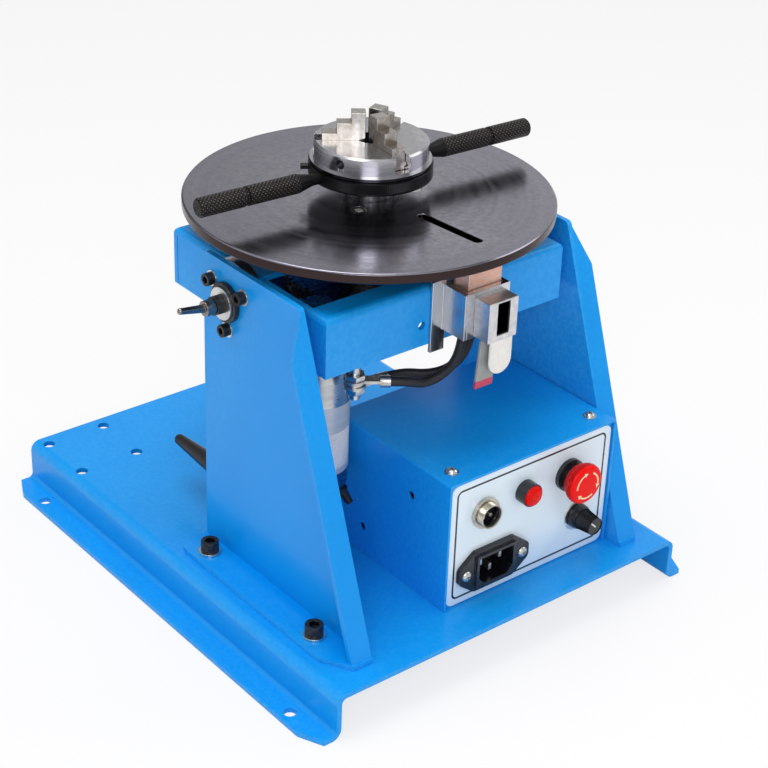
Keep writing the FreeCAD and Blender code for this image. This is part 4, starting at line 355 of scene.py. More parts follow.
def moulded(name, colour, pale, roughness, grain=0.5 * MM, depth=0.04 * MM, coat=0.0,
            metallic=0.0):
    """Moulded plastic, rubber or blackened steel with a fine even grain."""
    finish, tree, shader = new_finish(name, roughness, metallic, coat=coat)
    skin = use(tree, SPRAYED_SKIN, Peel_Size=grain, Drift_Size=18 * MM)
    edge_wear_and_highlight = use(tree, WORN_AND_HIGHLIT_EDGES, Amount=0.7)
    tone = tint(tree, skin["Drift"], colour,
                tuple(0.82 * level for level in colour[:3]) + (1.0,))
    # Edges are tinted paler: partly edge wear, partly a painted highlight.
    feed(tree, shader.inputs["Base Color"], tint(tree, edge_wear_and_highlight["Mask"], tone, pale))
    feed(tree, shader.inputs["Roughness"],
         spread(tree, skin["Drift"], 0.0, 1.0, roughness - 0.05, roughness + 0.06))
    raise_surface(tree, shader, skin["Height"], depth, 0.5)
    return finish


def knurled_bar_finish(axis_place, axis_turn, knurl_start):
    """Blackened bar with diamond knurling on its grips, along an axis in the table's plane, and a
    painted highlight on the knurl crests.
    """
    finish, tree, shader = new_finish("knurled black bar", 0.42, 0.6)
    moved = vectors(tree, "SUBTRACT", here(tree), tuple(axis_place))
    turn = tree.nodes.new("ShaderNodeVectorRotate")
    turn.rotation_type = "Z_AXIS"
    tree.links.new(moved, turn.inputs["Vector"])
    turn.inputs["Angle"].default_value = -axis_turn
    along, side, rise = split(tree, turn.outputs[0])
    around = sums(tree, "ARCTAN2", rise, side)
    knurl = use(tree, CROSS_KNURL, Along=along, Around=around, Pitch=2.3 * MM, Starts=14.0)
    reach = sums(tree, "ABSOLUTE", along, 0.0)
    on_grip = spread(tree, reach, knurl_start - 0.3 * MM, knurl_start + 0.3 * MM)
    height = sums(tree, "MULTIPLY", knurl["Height"], on_grip)
    painted_crest_highlight = spread(tree, height, 0.55, 0.95)
    # Painted highlight: the knurl crests are tinted a pale brown.
    feed(tree, shader.inputs["Base Color"],
         tint(tree, painted_crest_highlight, linear(22, 20, 22), linear(126, 112, 100)))
    raise_surface(tree, shader, height, 0.5 * MM, 1.0)
    return finish


def knurled_ring_finish(centre, low, high):
    """Blackened ring with fine upright knurling on its rim, between two levels."""
    finish, tree, shader = new_finish("knurled black ring", 0.26, 0.65)
    teeth_round = 180
    x, y, z = split(tree, here(tree))
    around = sums(tree, "ARCTAN2", sums(tree, "SUBTRACT", y, centre[1]),
                  sums(tree, "SUBTRACT", x, centre[0]))
    teeth = sums(tree, "PINGPONG",
                 sums(tree, "MULTIPLY", around, teeth_round / FULL_TURN), 0.5)
    band = sums(tree, "MULTIPLY", spread(tree, z, low, low + 0.3 * MM),
                spread(tree, z, high - 0.3 * MM, high, 1.0, 0.0))
    height = sums(tree, "MULTIPLY", teeth, band)
    shine = spread(tree, height, 0.2, 0.5)
    feed(tree, shader.inputs["Base Color"],
         tint(tree, shine, linear(12, 11, 13), linear(46, 44, 46)))
    raise_surface(tree, shader, height, 0.5 * MM, 1.0)
    return finish


def panel_finish(low, high):
    """Pale satin film printed with one black border line that has round corners."""
    inset, corner, line = 4.2 * MM, 3.2 * MM, 1.1 * MM
    finish, tree, shader = new_finish("panel film", 0.28, coat=0.35, coat_roughness=0.15)
    x, _, z = split(tree, here(tree))
    middle = (low + high) / 2
    half = (high - low) / 2 - Vector((inset, 0, inset))
    reach_x = sums(tree, "SUBTRACT",
                   sums(tree, "ABSOLUTE", sums(tree, "SUBTRACT", x, middle.x)),
                   half.x - corner)
    reach_z = sums(tree, "SUBTRACT",
                   sums(tree, "ABSOLUTE", sums(tree, "SUBTRACT", z, middle.z)),
                   half.z - corner)
    outside = vectors(tree, "LENGTH",
                      join(tree, sums(tree, "MAXIMUM", reach_x, 0.0),
                           sums(tree, "MAXIMUM", reach_z, 0.0), 0.0), (0, 0, 0))
    inside = sums(tree, "MINIMUM", sums(tree, "MAXIMUM", reach_x, reach_z), 0.0)
    distance = sums(tree, "SUBTRACT", sums(tree, "ADD", outside, inside), corner)
    ink = spread(tree, sums(tree, "ABSOLUTE", distance), line / 2, line / 2 + 0.12 * MM,
                 1.0, 0.0)
    skin = use(tree, SPRAYED_SKIN, Peel_Size=0.8 * MM, Drift_Size=45 * MM)
    paper = tint(tree, skin["Drift"], linear(228, 243, 253), linear(222, 239, 251))
    feed(tree, shader.inputs["Base Color"], tint(tree, ink, paper, linear(8, 8, 22)))
    raise_surface(tree, shader, skin["Height"], 0.02 * MM, 0.25)
    return finish


def tipped_finish(level):
    """A grey dipped tab with a red end below a level."""
    finish, tree, shader = new_finish("grey tab with red tip", 0.5)
    skin = use(tree, SPRAYED_SKIN, Peel_Size=0.7 * MM, Drift_Size=8 * MM)
    height = split(tree, here(tree))[2]
    edge = sums(tree, "ADD", height, sums(tree, "MULTIPLY", skin["Drift"], 0.5 * MM))
    dipped = spread(tree, edge, level, level + 0.4 * MM, 1.0, 0.0)
    grey = tint(tree, skin["Drift"], linear(160, 162, 160), linear(145, 148, 148))
    feed(tree, shader.inputs["Base Color"], tint(tree, dipped, grey, linear(196, 62, 92)))
    raise_surface(tree, shader, skin["Height"], 0.04 * MM, 0.5)
    return finish


def clamp_finish(low, high):
    """Pale cast metal, with painted shade inside the clamp's window."""
    finish, tree, shader = new_finish("cast clamp", 0.4, 1.0)
    spot = here(tree)
    streaks = use(tree, DRAWN_LINES, Stretch=(1300, 1300, 1300))
    x, y, z = split(tree, spot)
    soft = 0.15 * MM
    painted_window_shade = spread(tree, y, low.y + 0.6 * MM, low.y + 2.0 * MM)
    for place, start, end in ((x, low.x + 6.0 * MM, low.x + 14.6 * MM),
                              (z, low.z + 2.9 * MM, high.z - 1.1 * MM)):
        inside = sums(tree, "MINIMUM", spread(tree, place, start - soft, start),
                      spread(tree, place, end, end + soft, 1.0, 0.0))
        painted_window_shade = sums(tree, "MULTIPLY", painted_window_shade, inside)
    metal = tint(tree, streaks["Tone"], linear(232, 230, 230), linear(206, 206, 210))
    # Painted shade: near-black inside the window, where the clamp's hollow lies in shadow.
    feed(tree, shader.inputs["Base Color"], tint(tree, painted_window_shade, metal, linear(14, 13, 16)))
    raise_surface(tree, shader, streaks["Height"], 0.06 * MM, 0.4)
    return finish


TABLE_LOW, TABLE_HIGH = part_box("table_disc")
AXIS = ((TABLE_LOW + TABLE_HIGH) / 2).xy
MOTOR_LOW, MOTOR_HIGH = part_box("motor_can")
MOTOR_AXIS = ((MOTOR_LOW + MOTOR_HIGH) / 2).xy
RING_LOW, RING_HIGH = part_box("scroll_ring")
BARS_LOW, BARS_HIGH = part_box("lever_bars")
PANEL_LOW, PANEL_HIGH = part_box("front_panel")

BARS_TURN = math.radians(-3)
GRIP_START = 47 * MM

FINISHES = {
    # The blue paint's third colour is its paler edge tint: edge wear and a painted highlight.
    "blue paint": sprayed("blue paint", linear(0, 152, 238), linear(0, 147, 233),
                          linear(70, 180, 246)),
    "black steel": moulded("black steel", linear(26, 25, 27), linear(86, 84, 84), 0.36,
                           metallic=0.5),
    "zinc": drawn("zinc plate", linear(222, 222, 216), linear(198, 200, 198), 0.24,
                  (900, 900, 180)),
    "sheet steel": drawn("galvanised sheet", linear(216, 218, 222), linear(178, 182, 190),
                         0.22, (300, 300, 40)),
    "clamp steel": clamp_finish(*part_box("brush_clamp")),
    "gearbox steel": turned("gearbox steel", linear(190, 192, 192), linear(176, 178, 180),
                            0.22, MOTOR_AXIS, strength=0.2),
    "lever steel": drawn("lever steel", linear(150, 142, 136), linear(120, 112, 108), 0.26,
                         (260, 900, 900)),
    "cap steel": turned("cap steel", linear(110, 142, 160), linear(92, 124, 142),
                        0.25, MOTOR_AXIS, strength=0.2),
    "aluminium": turned("turned aluminium", linear(226, 228, 230), linear(206, 209, 213),
                        0.26, MOTOR_AXIS, strength=0.3),
    "motor can": turned("motor can", linear(206, 213, 216), linear(198, 205, 209), 0.36,
                        MOTOR_AXIS, metallic=0.35, strength=0.2),
    "table steel": darker_below(
        turned("blued table", linear(142, 140, 153), linear(130, 129, 142), 0.15, AXIS,
               0.5 * MM, 0.02 * MM, strength=0.16),
        TABLE_HIGH.z - 0.7 * MM, linear(62, 50, 50)),
    "chuck steel": darker_below(
        turned("chuck steel", linear(186, 186, 190), linear(172, 172, 177), 0.15, AXIS,
               0.25 * MM, 0.02 * MM, strength=0.25),
        RING_HIGH.z + 1.9 * MM, linear(60, 60, 66)),
    "jaw steel": drawn("ground jaws", linear(178, 170, 160), linear(158, 150, 141), 0.22,
                       (1500, 1500, 260)),
    "dark stem": turned("dark stem", linear(48, 46, 50), linear(34, 33, 36), 0.3, AXIS),
    "bars": knurled_bar_finish(Vector((*AXIS, (BARS_LOW.z + BARS_HIGH.z) / 2)),
                               BARS_TURN, GRIP_START),
    "ring": knurled_ring_finish(AXIS, RING_LOW.z + 0.8 * MM, RING_HIGH.z - 0.8 * MM),
    "black plastic": moulded("black plastic", linear(17, 18, 24), linear(50, 52, 62), 0.26,
                             coat=0.1),
    "black grip": moulded("black grip", linear(24, 22, 28), linear(58, 56, 64), 0.4,
                          0.8 * MM),
    "black rubber": moulded("black rubber", linear(24, 24, 28), linear(52, 52, 58), 0.55,
                            0.9 * MM, 0.05 * MM),
    "copper": drawn("copper", linear(236, 172, 142), linear(226, 160, 130), 0.36,
                    (160, 160, 1100), metallic=0.75),
    "tinned brass": drawn("tinned brass", linear(216, 212, 204), linear(188, 184, 176), 0.3,
                          (700, 700, 700)),
    "nickel": drawn("nickel", linear(208, 200, 184), linear(176, 166, 148), 0.26,
                    (500, 120, 500)),
    "panel film": panel_finish(PANEL_LOW, PANEL_HIGH),
    "cream print": moulded("cream print", linear(246, 226, 176), linear(250, 236, 200),
                           0.45),
    "white plastic": moulded("ivory tab", linear(236, 232, 226), linear(244, 242, 238),
                             0.32, coat=0.2),
    "paper label": moulded("plain label", linear(222, 226, 226), linear(236, 238, 238), 0.5),
    "grey tab": tipped_finish(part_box("grey_tab")[0].z + 4.2 * MM),
}


def lens_finish():
    """Clear red plastic with a fine inner pattern."""
    finish, tree, shader = new_finish("red lens", 0.22, specular=0.14)
    x, _, z = split(tree, here(tree))
    waves = [sums(tree, "PINGPONG", sums(tree, "MULTIPLY", place, 700.0), 0.5)
             for place in (x, z)]
    weave = sums(tree, "MULTIPLY", *waves)
    feed(tree, shader.inputs["Base Color"],
         tint(tree, spread(tree, weave, 0.0, 0.25), linear(176, 4, 2), linear(240, 16, 6)))
    feed(tree, shader.inputs["Emission Color"], linear(220, 20, 4))
    shader.inputs["Emission Strength"].default_value = 0.25
    raise_surface(tree, shader, weave, 0.05 * MM, 0.3)
    return finish


def button_finish():
    """Red plastic with a ribbed rim round an axis that runs front to back, with painted shade on
    the rim and lighter rib crests as a painted highlight.
    """
    finish, tree, shader = new_finish("red button", 0.3, specular=0.14)
    x, y, z = split(tree, here(tree))
    low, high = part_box("stop_button")
    middle = (low + high) / 2
    ribs_round = 72
    around = sums(tree, "ARCTAN2", sums(tree, "SUBTRACT", z, middle.z),
                  sums(tree, "SUBTRACT", x, middle.x))
    ribs = sums(tree, "PINGPONG", sums(tree, "MULTIPLY", around, ribs_round / FULL_TURN), 0.5)
    behind = spread(tree, y, low.y + 1.6 * MM, low.y + 2.2 * MM)
    height = sums(tree, "MULTIPLY", ribs, behind)
    # Painted shade: the rim is darker than the front face, and the rib crests are lighter as a
    # painted highlight.
    painted_rim_shade = sums(tree, "SUBTRACT", behind, sums(tree, "MULTIPLY", height, 1.6))
    feed(tree, shader.inputs["Base Color"],
         tint(tree, painted_rim_shade, linear(240, 10, 8), linear(160, 2, 6)))
    raise_surface(tree, shader, height, 0.5 * MM, 1.0)
    return finish


FINISHES["red lens"] = lens_finish()
FINISHES["red plastic"] = button_finish()


# ---------------------------------------------------------------- modelling helpers
def only(obj):
    """Select one object and make it active."""
    bpy.ops.object.select_all(action="DESELECT")
    obj.select_set(True)
    bpy.context.view_layer.objects.active = obj
    return obj


def added(maker, **settings):
    """Add a primitive with nothing else selected."""
    bpy.ops.object.select_all(action="DESELECT")
    maker(**settings)
    return bpy.context.object


def bake_transform():
    """Put the selected object's placing into its mesh."""
    bpy.ops.object.transform_apply(location=True, rotation=True, scale=True)


def apply_modifier(obj, kind, **settings):
    """Add a modifier, set it and apply it."""
    only(obj)
    modifier = obj.modifiers.new(kind.lower(), kind)
    for name, value in settings.items():
        setattr(modifier, name, value)
    bpy.ops.object.modifier_apply(modifier=modifier.name)
    return obj


def rounded(obj, width, segments=2, angle=35):
    """Round the sharp edges and smooth what is left."""
    apply_modifier(obj, "BEVEL", width=width, segments=segments, limit_method="ANGLE",
                   angle_limit=math.radians(angle), harden_normals=False,
                   use_clamp_overlap=True)
    bpy.ops.object.shade_smooth_by_angle(angle=math.radians(angle))
    apply_modifier(obj, "WEIGHTED_NORMAL", keep_sharp=True, weight=50)
    return obj


def clad(obj, finish):
    """Give an object one finish."""
    obj.data.materials.clear()
    obj.data.materials.append(FINISHES[finish])
    return obj


def fit(obj, name, finish, body, *nodes, slot=None):
    """Name a finished piece, set it down at the origin and fasten it to its body."""
    only(obj)
    bake_transform()
    obj.name = name
    clad(obj, finish)
    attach(obj, body)
    if nodes:
        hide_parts(*nodes)
    return obj


def eased(node, finish, radius, segments=2):
    """A copy of a CAD piece with its facets merged and its edges rounded."""
    source = frame["nodes"][node]
    obj = bpy.data.objects.new(node + "_eased", source.data.copy())
    bpy.context.scene.collection.objects.link(obj)
    only(obj)
    bpy.ops.object.mode_set(mode="EDIT")
    bpy.ops.mesh.select_mode(type="VERT")
    bpy.ops.mesh.select_all(action="SELECT")
    bpy.ops.mesh.remove_doubles(threshold=0.002 * MM)
    bpy.ops.mesh.dissolve_limited(angle_limit=math.radians(0.6))
    bpy.ops.object.mode_set(mode="OBJECT")
    rounded(obj, radius, segments)
    return fit(obj, node + "_eased", finish, source["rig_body"], node)


def spun(profile, centre, axis, steps=72, angle=FULL_TURN, start=None):
    """Extrude a profile of (radius, height) points and spin it round an axis."""
    side = start or (UP if abs(axis.z) < 0.5 else Vector((1, 0, 0)))
    places = [Vector(centre) + side * radius + axis * height for radius, height in profile]
    obj = added(bpy.ops.mesh.primitive_plane_add, size=0.1 * MM, location=places[0])
    bake_transform()
    bpy.ops.object.mode_set(mode="EDIT")
    bpy.ops.mesh.select_mode(type="VERT")
    bpy.ops.mesh.select_all(action="SELECT")
    bpy.ops.mesh.merge(type="CENTER")
    for last, place in zip(places, places[1:]):
        bpy.ops.mesh.extrude_region_move(TRANSFORM_OT_translate={"value": place - last})
    bpy.ops.mesh.select_all(action="SELECT")
    bpy.ops.mesh.spin(steps=steps, angle=angle, center=centre, axis=axis)
    bpy.ops.mesh.select_all(action="SELECT")
    bpy.ops.mesh.remove_doubles(threshold=0.002 * MM)
    bpy.ops.mesh.normals_make_consistent(inside=False)
    bpy.ops.object.mode_set(mode="OBJECT")
    return obj


def joined(first, *others):
    """Join pieces into the first one."""
    only(first)
    for other in others:
        other.select_set(True)
    bpy.ops.object.join()
    return first


def on_panel(node):
    """The place on the panel's face behind a node's middle, and how far the node stands out."""
    low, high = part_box(node)
    middle = (low + high) / 2
    return Vector((middle.x, PANEL_LOW.y, middle.z)), PANEL_LOW.y - low.y


# ---------------------------------------------------------------- sheet metal and machined parts
def ease_solid_parts():
    """CAD pieces that keep their shape: rounded edges and their finish."""
    for node, finish, edge, *steps in (
            ("base_plate", "blue paint", 0.5),
            ("left_bracket", "blue paint", 0.5),
            ("right_bracket", "blue paint", 0.5),
            ("tilt_frame", "blue paint", 0.5),
            ("control_box", "blue paint", 0.25),
            ("control_cover", "blue paint", 0.3),
            ("motor_plate", "black steel", 0.3),
            ("front_panel", "panel film", 0.15),
            ("foot_screws", "black steel", 0.3),
            ("pivot_screws", "black steel", 0.25),
            ("clamp_disc", "black steel", 0.4),
            ("clamp_nut", "black steel", 0.25),
            ("clamp_washer", "zinc", 0.2),
            ("bracket_washers", "zinc", 0.15),
            ("clamp_lever", "lever steel", 0.3),
            ("brush_bracket", "sheet steel", 0.3),
            ("brush_holder", "sheet steel", 0.35),
            ("brush_clamp", "clamp steel", 0.5),
            ("brush_block", "copper", 0.4),
            ("grey_tab", "grey tab", 0.3),
            ("white_tab", "white plastic", 0.5, 3),
            ("table_disc", "table steel", 0.25),
            ("table_screws", "zinc", 0.25),
            ("chuck_body", "chuck steel", 0.3),
            ("chuck_stem", "dark stem", 0.4),
            ("jaw_1", "jaw steel", 0.3),
            ("jaw_2", "jaw steel", 0.3),
            ("jaw_3", "jaw steel", 0.3),
            ("scroll_ring", "ring", 0.5),
            ("lever_bars", "bars", 0.3),
            ("gearbox", "gearbox steel", 0.4),
            ("motor_can", "motor can", 0.4),
            ("motor_end_cap", "cap steel", 0.8, 3),
            ("motor_boots", "black rubber", 0.5, 3),
            ("power_inlet", "black plastic", 0.6, 3),
            ("connector_pins", "tinned brass", 0.25),
            ("cable_lugs", "tinned brass", 0.25),
            ("earth_stud", "zinc", 0.25),
            ("tilt_handle", "black grip", 0.4)):
        eased(node, finish, edge * MM, *steps)


def clad_hidden_parts():
    """CAD pieces that keep their own mesh and only take a finish."""
    for finish, nodes in {
            "aluminium": ("pivot_bearings",),
            "black steel": ("pivot_studs", "housing_screws"),
            "zinc": ("bearing_outer_races", "bearing_inner_races", "pinion",
                     "brush_spring", "power_supply", "speed_control"),
            "dark stem": ("drive_gear", "bearing_housing", "spindle")}.items():
        for node in nodes:
            clad(frame["nodes"][node], finish)


# ---------------------------------------------------------------- panel pieces
def pan_screw(head, direction, radius, height):
    """A domed head with a cross recess, seated at a point and facing a direction."""
    dome = spun([(0, height), (radius * 0.45, height * 0.97), (radius * 0.8, height * 0.72),
                 (radius, height * 0.25), (radius, 0), (0, 0)], head, direction, 32)
    wing = Vector((1, 1, 1)) * radius * 0.26 + Vector(map(abs, direction)) * height
    cross = []
    for long_way in (0, 1):
        bar = added(bpy.ops.mesh.primitive_cube_add, size=1,
                    location=head + direction * height)
        across = [axis for axis in range(3) if abs(direction[axis]) < 0.5][long_way]
        bar.scale = wing
        bar.scale[across] = radius * 1.15
        cross.append(bar)
    for bar in cross:
        only(bar)
        bake_transform()
        apply_modifier(dome, "BOOLEAN", object=bar, operation="DIFFERENCE", solver="EXACT")
        bpy.data.objects.remove(bar)
    return dome


def cover_and_inlet_screws():
    """Two screws with washers on the cover and two in the inlet's flange."""
    inlet_low, inlet_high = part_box("power_inlet")
    box_low, box_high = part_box("control_cover")
    cover_edge, behind_panel, inlet_side = 10 * MM, 9.5 * MM, 20 * MM
    heads = []
    for x in (box_low.x + cover_edge, box_high.x - cover_edge):
        seat = Vector((x, (PANEL_LOW.y + PANEL_HIGH.y) / 2 + behind_panel, box_high.z))
        ring = spun([(1.8 * MM, 0), (3.9 * MM, 0), (3.9 * MM, 0.5 * MM), (1.8 * MM, 0.5 * MM),
                     (1.8 * MM, 0)], seat, UP, 32)
        heads.append(joined(pan_screw(seat + UP * 0.4 * MM, UP, 3.1 * MM, 1.8 * MM), ring))
    middle = (inlet_low + inlet_high) / 2
    for side in (-inlet_side, inlet_side):
        seat = Vector((middle.x + side, PANEL_LOW.y - 3 * MM, middle.z))
        heads.append(pan_screw(seat, TO_FRONT, 3.1 * MM, 1.6 * MM))
    screws = rounded(joined(*heads), 0.08 * MM, 1, 50)
    fit(screws, "panel_screw_heads", "zinc", "stand", "panel_screws", slot="zinc_steel")


def pedal_socket():
    """A threaded nickel shell with a plain ring for its notched nut, a lip and a black insert."""
    seat, reach = on_panel("pedal_socket")
    threads = 6
    profile = [(6.2 * MM, -2.9 * MM), (6.2 * MM, reach - 0.4 * MM), (6.4 * MM, reach),
               (7.0 * MM, reach)]
    step = (reach - 2.7 * MM) / threads
    for turn in range(threads):
        profile += [(7.2 * MM, reach - (turn + 0.5) * step),
                    (6.7 * MM, reach - (turn + 1) * step)]
    profile += [(7.2 * MM, 2.4 * MM), (7.2 * MM, -1.0 * MM)]
    shell = spun(profile, seat, TO_FRONT, 64)
    nut = spun([(6.9 * MM, 0), (9.0 * MM, 0), (9.0 * MM, 2.5 * MM), (6.9 * MM, 2.5 * MM),
                (6.9 * MM, 0)], seat, TO_FRONT, 24)
    fit(rounded(joined(nut, shell), 0.2 * MM, 2, 30), "pedal_socket_shell", "nickel",
        "stand", "pedal_socket", slot="chrome")
    insert = spun([(0, 1.2 * MM), (5.4 * MM, 1.2 * MM), (5.5 * MM, 5.4 * MM),
                   (5.7 * MM, 5.7 * MM), (6.15 * MM, 5.7 * MM), (6.15 * MM, -2.9 * MM)],
                  seat, TO_FRONT, 48)
    fit(rounded(insert, 0.15 * MM), "pedal_socket_insert", "black plastic", "stand",
        slot="black_plastic")


def power_lamp():
    """A short black tube with a rolled lip and a domed red lens."""
    seat, rise = on_panel("lamp_bezel")
    tube = spun([(6.15 * MM, -1.2 * MM), (6.7 * MM, 0), (6.7 * MM, rise - 0.5 * MM),
                 (6.5 * MM, rise), (6.15 * MM, rise), (6.12 * MM, rise - 2.9 * MM)],
                seat, TO_FRONT, 64)
    fit(rounded(tube, 0.15 * MM, 3), "lamp_tube", "black plastic", "stand", "lamp_bezel",
        slot="black_plastic")
    front = seat.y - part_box("lamp_lens")[0].y
    dome = spun([(0, front), (2.0 * MM, front - 0.08 * MM), (3.9 * MM, front - 0.45 * MM),
                 (5.2 * MM, front - 1.1 * MM), (5.95 * MM, front - 2.1 * MM),
                 (6.08 * MM, rise - 2.9 * MM), (0, rise - 2.9 * MM)], seat, TO_FRONT, 64)
    fit(rounded(dome, 0.2 * MM, 3, 50), "lamp_dome", "red lens", "stand", "lamp_lens",
        slot="red_lens")


def stop_switch():
    """A black collar with a waisted red mushroom and three twist arrows on its face."""
    seat, front = on_panel("stop_button")
    clad(frame["nodes"]["stop_collar"], "black plastic")
    back = 6.8 * MM
    head = spun([(6.85 * MM, front - 6.7 * MM), (6.85 * MM, back), (9.7 * MM, back),
                 (9.8 * MM, back + 0.8 * MM), (10.1 * MM, back + 1.5 * MM),
                 (10.8 * MM, back + 2.1 * MM), (11.4 * MM, back + 3.2 * MM),
                 (11.75 * MM, back + 4.8 * MM), (11.6 * MM, front - 1.9 * MM),
                 (10.9 * MM, front - 0.9 * MM), (9.6 * MM, front - 0.3 * MM),
                 (5.5 * MM, front - 0.1 * MM), (0, front - 0.1 * MM)],
                seat, TO_FRONT, 96)
    stem = spun([(0, -8 * MM), (4.0 * MM, -8 * MM), (4.0 * MM, front - 6.6 * MM),
                 (6.9 * MM, front - 6.6 * MM)], seat, TO_FRONT, 32)
    button = joined(head, stem)
    fit(rounded(button, 0.3 * MM, 3, 30), "stop_mushroom", "red plastic", "stop_head",
        "stop_button", slot="red_plastic")
    arrows = []
    first_arrow, arrow_sweep, tip_sweep = 62, 74, 78
    arrow_face = front - 0.12 * MM
    for turn in range(3):
        start = math.radians(first_arrow + 120 * turn)
        ray = Vector((math.cos(start), 0, math.sin(start)))
        arc = spun([(7.2 * MM, arrow_face), (8.1 * MM, arrow_face)], seat, TO_FRONT, 14,
                   math.radians(arrow_sweep), ray)
        tip_turn = start - math.radians(tip_sweep)
        tip_ray = Vector((math.cos(tip_turn), 0, math.sin(tip_turn)))
        point = added(bpy.ops.mesh.primitive_circle_add, vertices=3, radius=1.6 * MM,
                      fill_type="NGON",
                      location=seat + TO_FRONT * arrow_face + tip_ray * 7.65 * MM,
                      rotation=(math.pi / 2, math.pi - tip_turn, 0))
        bake_transform()
        arrows += [arc, point]
    print_ring = joined(*arrows)
    apply_modifier(print_ring, "SOLIDIFY", thickness=0.1 * MM, offset=0)
    fit(print_ring, "stop_arrows", "cream print", "stop_head", slot="white_sheet")


def speed_knob():
    """A skirted knob with flutes down its sides and a white pointer line."""
    low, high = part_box("speed_knob")
    middle = (low + high) / 2
    seat = Vector((middle.x, high.y, middle.z))
    length = high.y - low.y
    skirt = spun([(3.6 * MM, 0), (7.3 * MM, 0), (7.3 * MM, 1.6 * MM), (6.9 * MM, 3.4 * MM),
                  (6.2 * MM, 4.6 * MM), (3.6 * MM, 4.6 * MM), (3.6 * MM, 0)], seat,
                 TO_FRONT, 64)
    grip_start = 4.2 * MM
    grip = added(bpy.ops.mesh.primitive_cone_add, vertices=36, radius1=6.4 * MM,
                 radius2=5.2 * MM, depth=length - grip_start,
                 location=seat + TO_FRONT * (length + grip_start) / 2,
                 rotation=(math.pi / 2, 0, 0))
    bake_transform()
    sides = [face for face in grip.data.polygons if len(face.vertices) == 4]
    for face in grip.data.polygons:
        face.select = False
    for place, face in enumerate(sides):
        face.select = place % 2 == 0
    bpy.ops.object.mode_set(mode="EDIT")
    bpy.ops.mesh.select_mode(type="FACE")
    bpy.ops.mesh.extrude_faces_move(TRANSFORM_OT_shrink_fatten={"value": -0.45 * MM})
    bpy.ops.object.mode_set(mode="OBJECT")
    knob = rounded(joined(grip, skirt), 0.18 * MM, 2, 30)
    fit(knob, "speed_knob_body", "black plastic", "speed_head", "speed_knob",
        slot="black_plastic")
    line = added(bpy.ops.mesh.primitive_cube_add, size=1,
                 location=seat + TO_FRONT * (length - 0.02 * MM)
                 + Vector((-1.6, 0, 1.6)) * MM)
    line.scale = (0.8 * MM, 0.2 * MM, 4.6 * MM)
    line.rotation_euler = (0, -math.radians(45), 0)
    fit(line, "speed_pointer", "white plastic", "speed_head", slot="white_sheet")


# ---------------------------------------------------------------- motor and cables
def motor_label():
    """A plain pale label wrapped round the front of the motor can."""
    centre = Vector((*MOTOR_AXIS, MOTOR_LOW.z))
    radius, foot, top = 17.52 * MM, 4 * MM, 26 * MM
    start, sweep = math.radians(307), math.radians(150)
    ray = Vector((math.cos(start), math.sin(start), 0))
    wrap = spun([(radius, foot), (radius, top)], centre, UP, 48, sweep, ray)
    apply_modifier(wrap, "SOLIDIFY", thickness=0.12 * MM, offset=1)
    bpy.ops.object.shade_smooth_by_angle(angle=math.radians(30))
    fit(wrap, "motor_label", "paper label", "cradle", slot="white_sheet")


LEAD_DIAMETER = 5.2 * MM
LEAD_ROUTES = {  # in mm; the last two points of each lie on its lug's line
    "earth_cable_front": ((0, -96.5, 171.5), (-1, -96, 158.5), (-7, -91, 147.5),
                          (-16, -87, 143), (-27.7, -81.5 - 7.3 * 11 / 15, 148),
                          (-35, -81.5, 148)),
    "earth_cable_rear": ((6, -96.5, 171.5), (5, -95, 160), (0, -89, 148.5),
                         (-9, -82, 144), (-20.5, -72 - 9.5 * 0.075, 144.8),
                         (-30, -72, 144.8)),
}


def earth_cables():
    """Two limp earth leads from the brush holder to the lugs on the stud."""
    for node, route in LEAD_ROUTES.items():
        curve = bpy.data.curves.new(node + "_lead", "CURVE")
        curve.dimensions = "3D"
        curve.bevel_depth = LEAD_DIAMETER / 2
        curve.bevel_resolution = 6
        curve.resolution_u = 16
        curve.use_fill_caps = True
        spline = curve.splines.new("NURBS")
        spline.points.add(len(route) - 1)
        for point, place in zip(spline.points, route):
            point.co = (*(Vector(place) * MM), 1)
        spline.order_u = 3
        spline.use_endpoint_u = True
        lead = bpy.data.objects.new(node + "_lead", curve)
        bpy.context.scene.collection.objects.link(lead)
        clad(lead, "black rubber")
        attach(lead, "cradle")
        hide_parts(node)


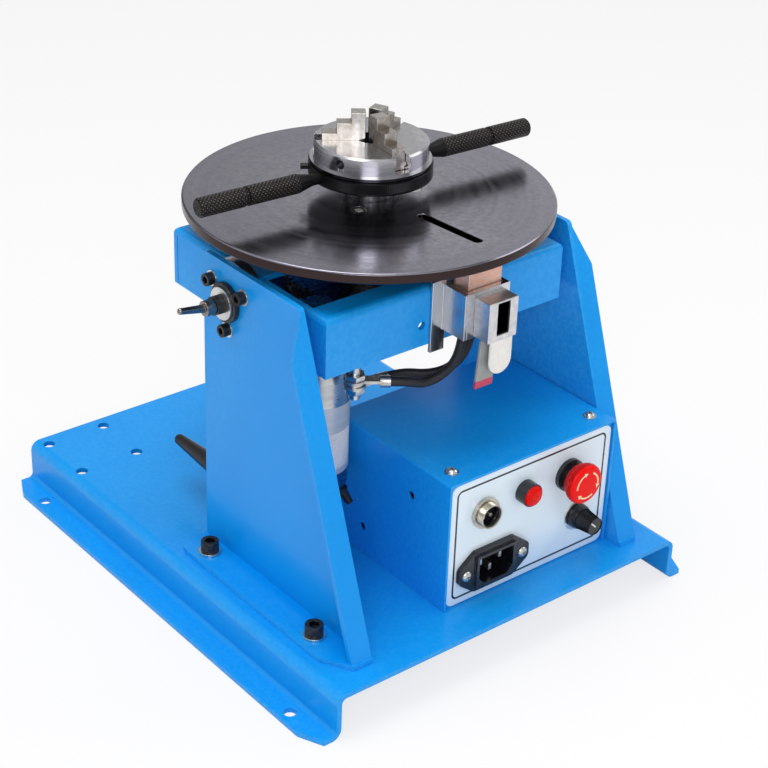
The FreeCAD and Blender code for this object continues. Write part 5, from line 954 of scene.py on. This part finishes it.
# ---------------------------------------------------------------- studio
def studio():
    """A pale floor, three large soft lamps and a room of broad pale and grey screens."""
    floor = added(bpy.ops.mesh.primitive_plane_add, size=8, location=(0, 0, 0))
    floor.name = "floor"
    paper, tree, shader = new_finish("floor paper", 0.85)
    shader.inputs["Base Color"].default_value = (0.86, 0.86, 0.87, 1)
    glow = tree.nodes.new("ShaderNodeEmission")
    glow.inputs["Strength"].default_value = 1.0
    mix = tree.nodes.new("ShaderNodeMixShader")
    path = tree.nodes.new("ShaderNodeLightPath")
    tree.links.new(sums(tree, "MULTIPLY", path.outputs["Is Camera Ray"], 0.75),
                   mix.inputs["Fac"])
    tree.links.new(shader.outputs[0], mix.inputs[1])
    tree.links.new(glow.outputs[0], mix.inputs[2])
    tree.links.new(mix.outputs[0], tree.nodes["Material Output"].inputs["Surface"])
    floor.data.materials.append(paper)
    world = bpy.data.worlds.new("white room")
    bpy.context.scene.world = world
    world.use_nodes = True
    tree = world.node_tree
    room = tree.nodes["Background"]
    room.inputs["Color"].default_value = (1, 1, 1, 1)
    path = tree.nodes.new("ShaderNodeLightPath")
    ahead, aside, _ = split(tree, tree.nodes.new("ShaderNodeTexCoord").outputs["Generated"])
    bands = sums(tree, "SINE",
                 sums(tree, "MULTIPLY", sums(tree, "ARCTAN2", aside, ahead), 3.0))
    tree.links.new(sums(tree, "MAXIMUM", path.outputs["Is Camera Ray"],
                        spread(tree, bands, -1.0, 1.0, 0.2, 0.8)), room.inputs["Strength"])
    for name, place, size, power in (("top lamp", (-0.2, 0.1, 1.5), 1.0, 11.0),
                                     ("front lamp", (-0.9, -1.1, 0.9), 0.8, 7.0),
                                     ("right lamp", (1.2, -0.6, 0.9), 0.9, 4.0)):
        data = bpy.data.lights.new(name, "AREA")
        data.shape = "DISK"
        data.size = size
        data.energy = power
        lamp = bpy.data.objects.new(name, data)
        bpy.context.scene.collection.objects.link(lamp)
        aim = Vector((0, 0, 0.12)) - Vector(place)
        lamp.matrix_world = (Matrix.Translation(place)
                             @ aim.to_track_quat("-Z", "Y").to_matrix().to_4x4())
    bpy.context.scene.view_settings.view_transform = "Standard"


place_camera()
ease_solid_parts()
clad_hidden_parts()
cover_and_inlet_screws()
pedal_socket()
power_lamp()
stop_switch()
speed_knob()
motor_label()
earth_cables()
studio()
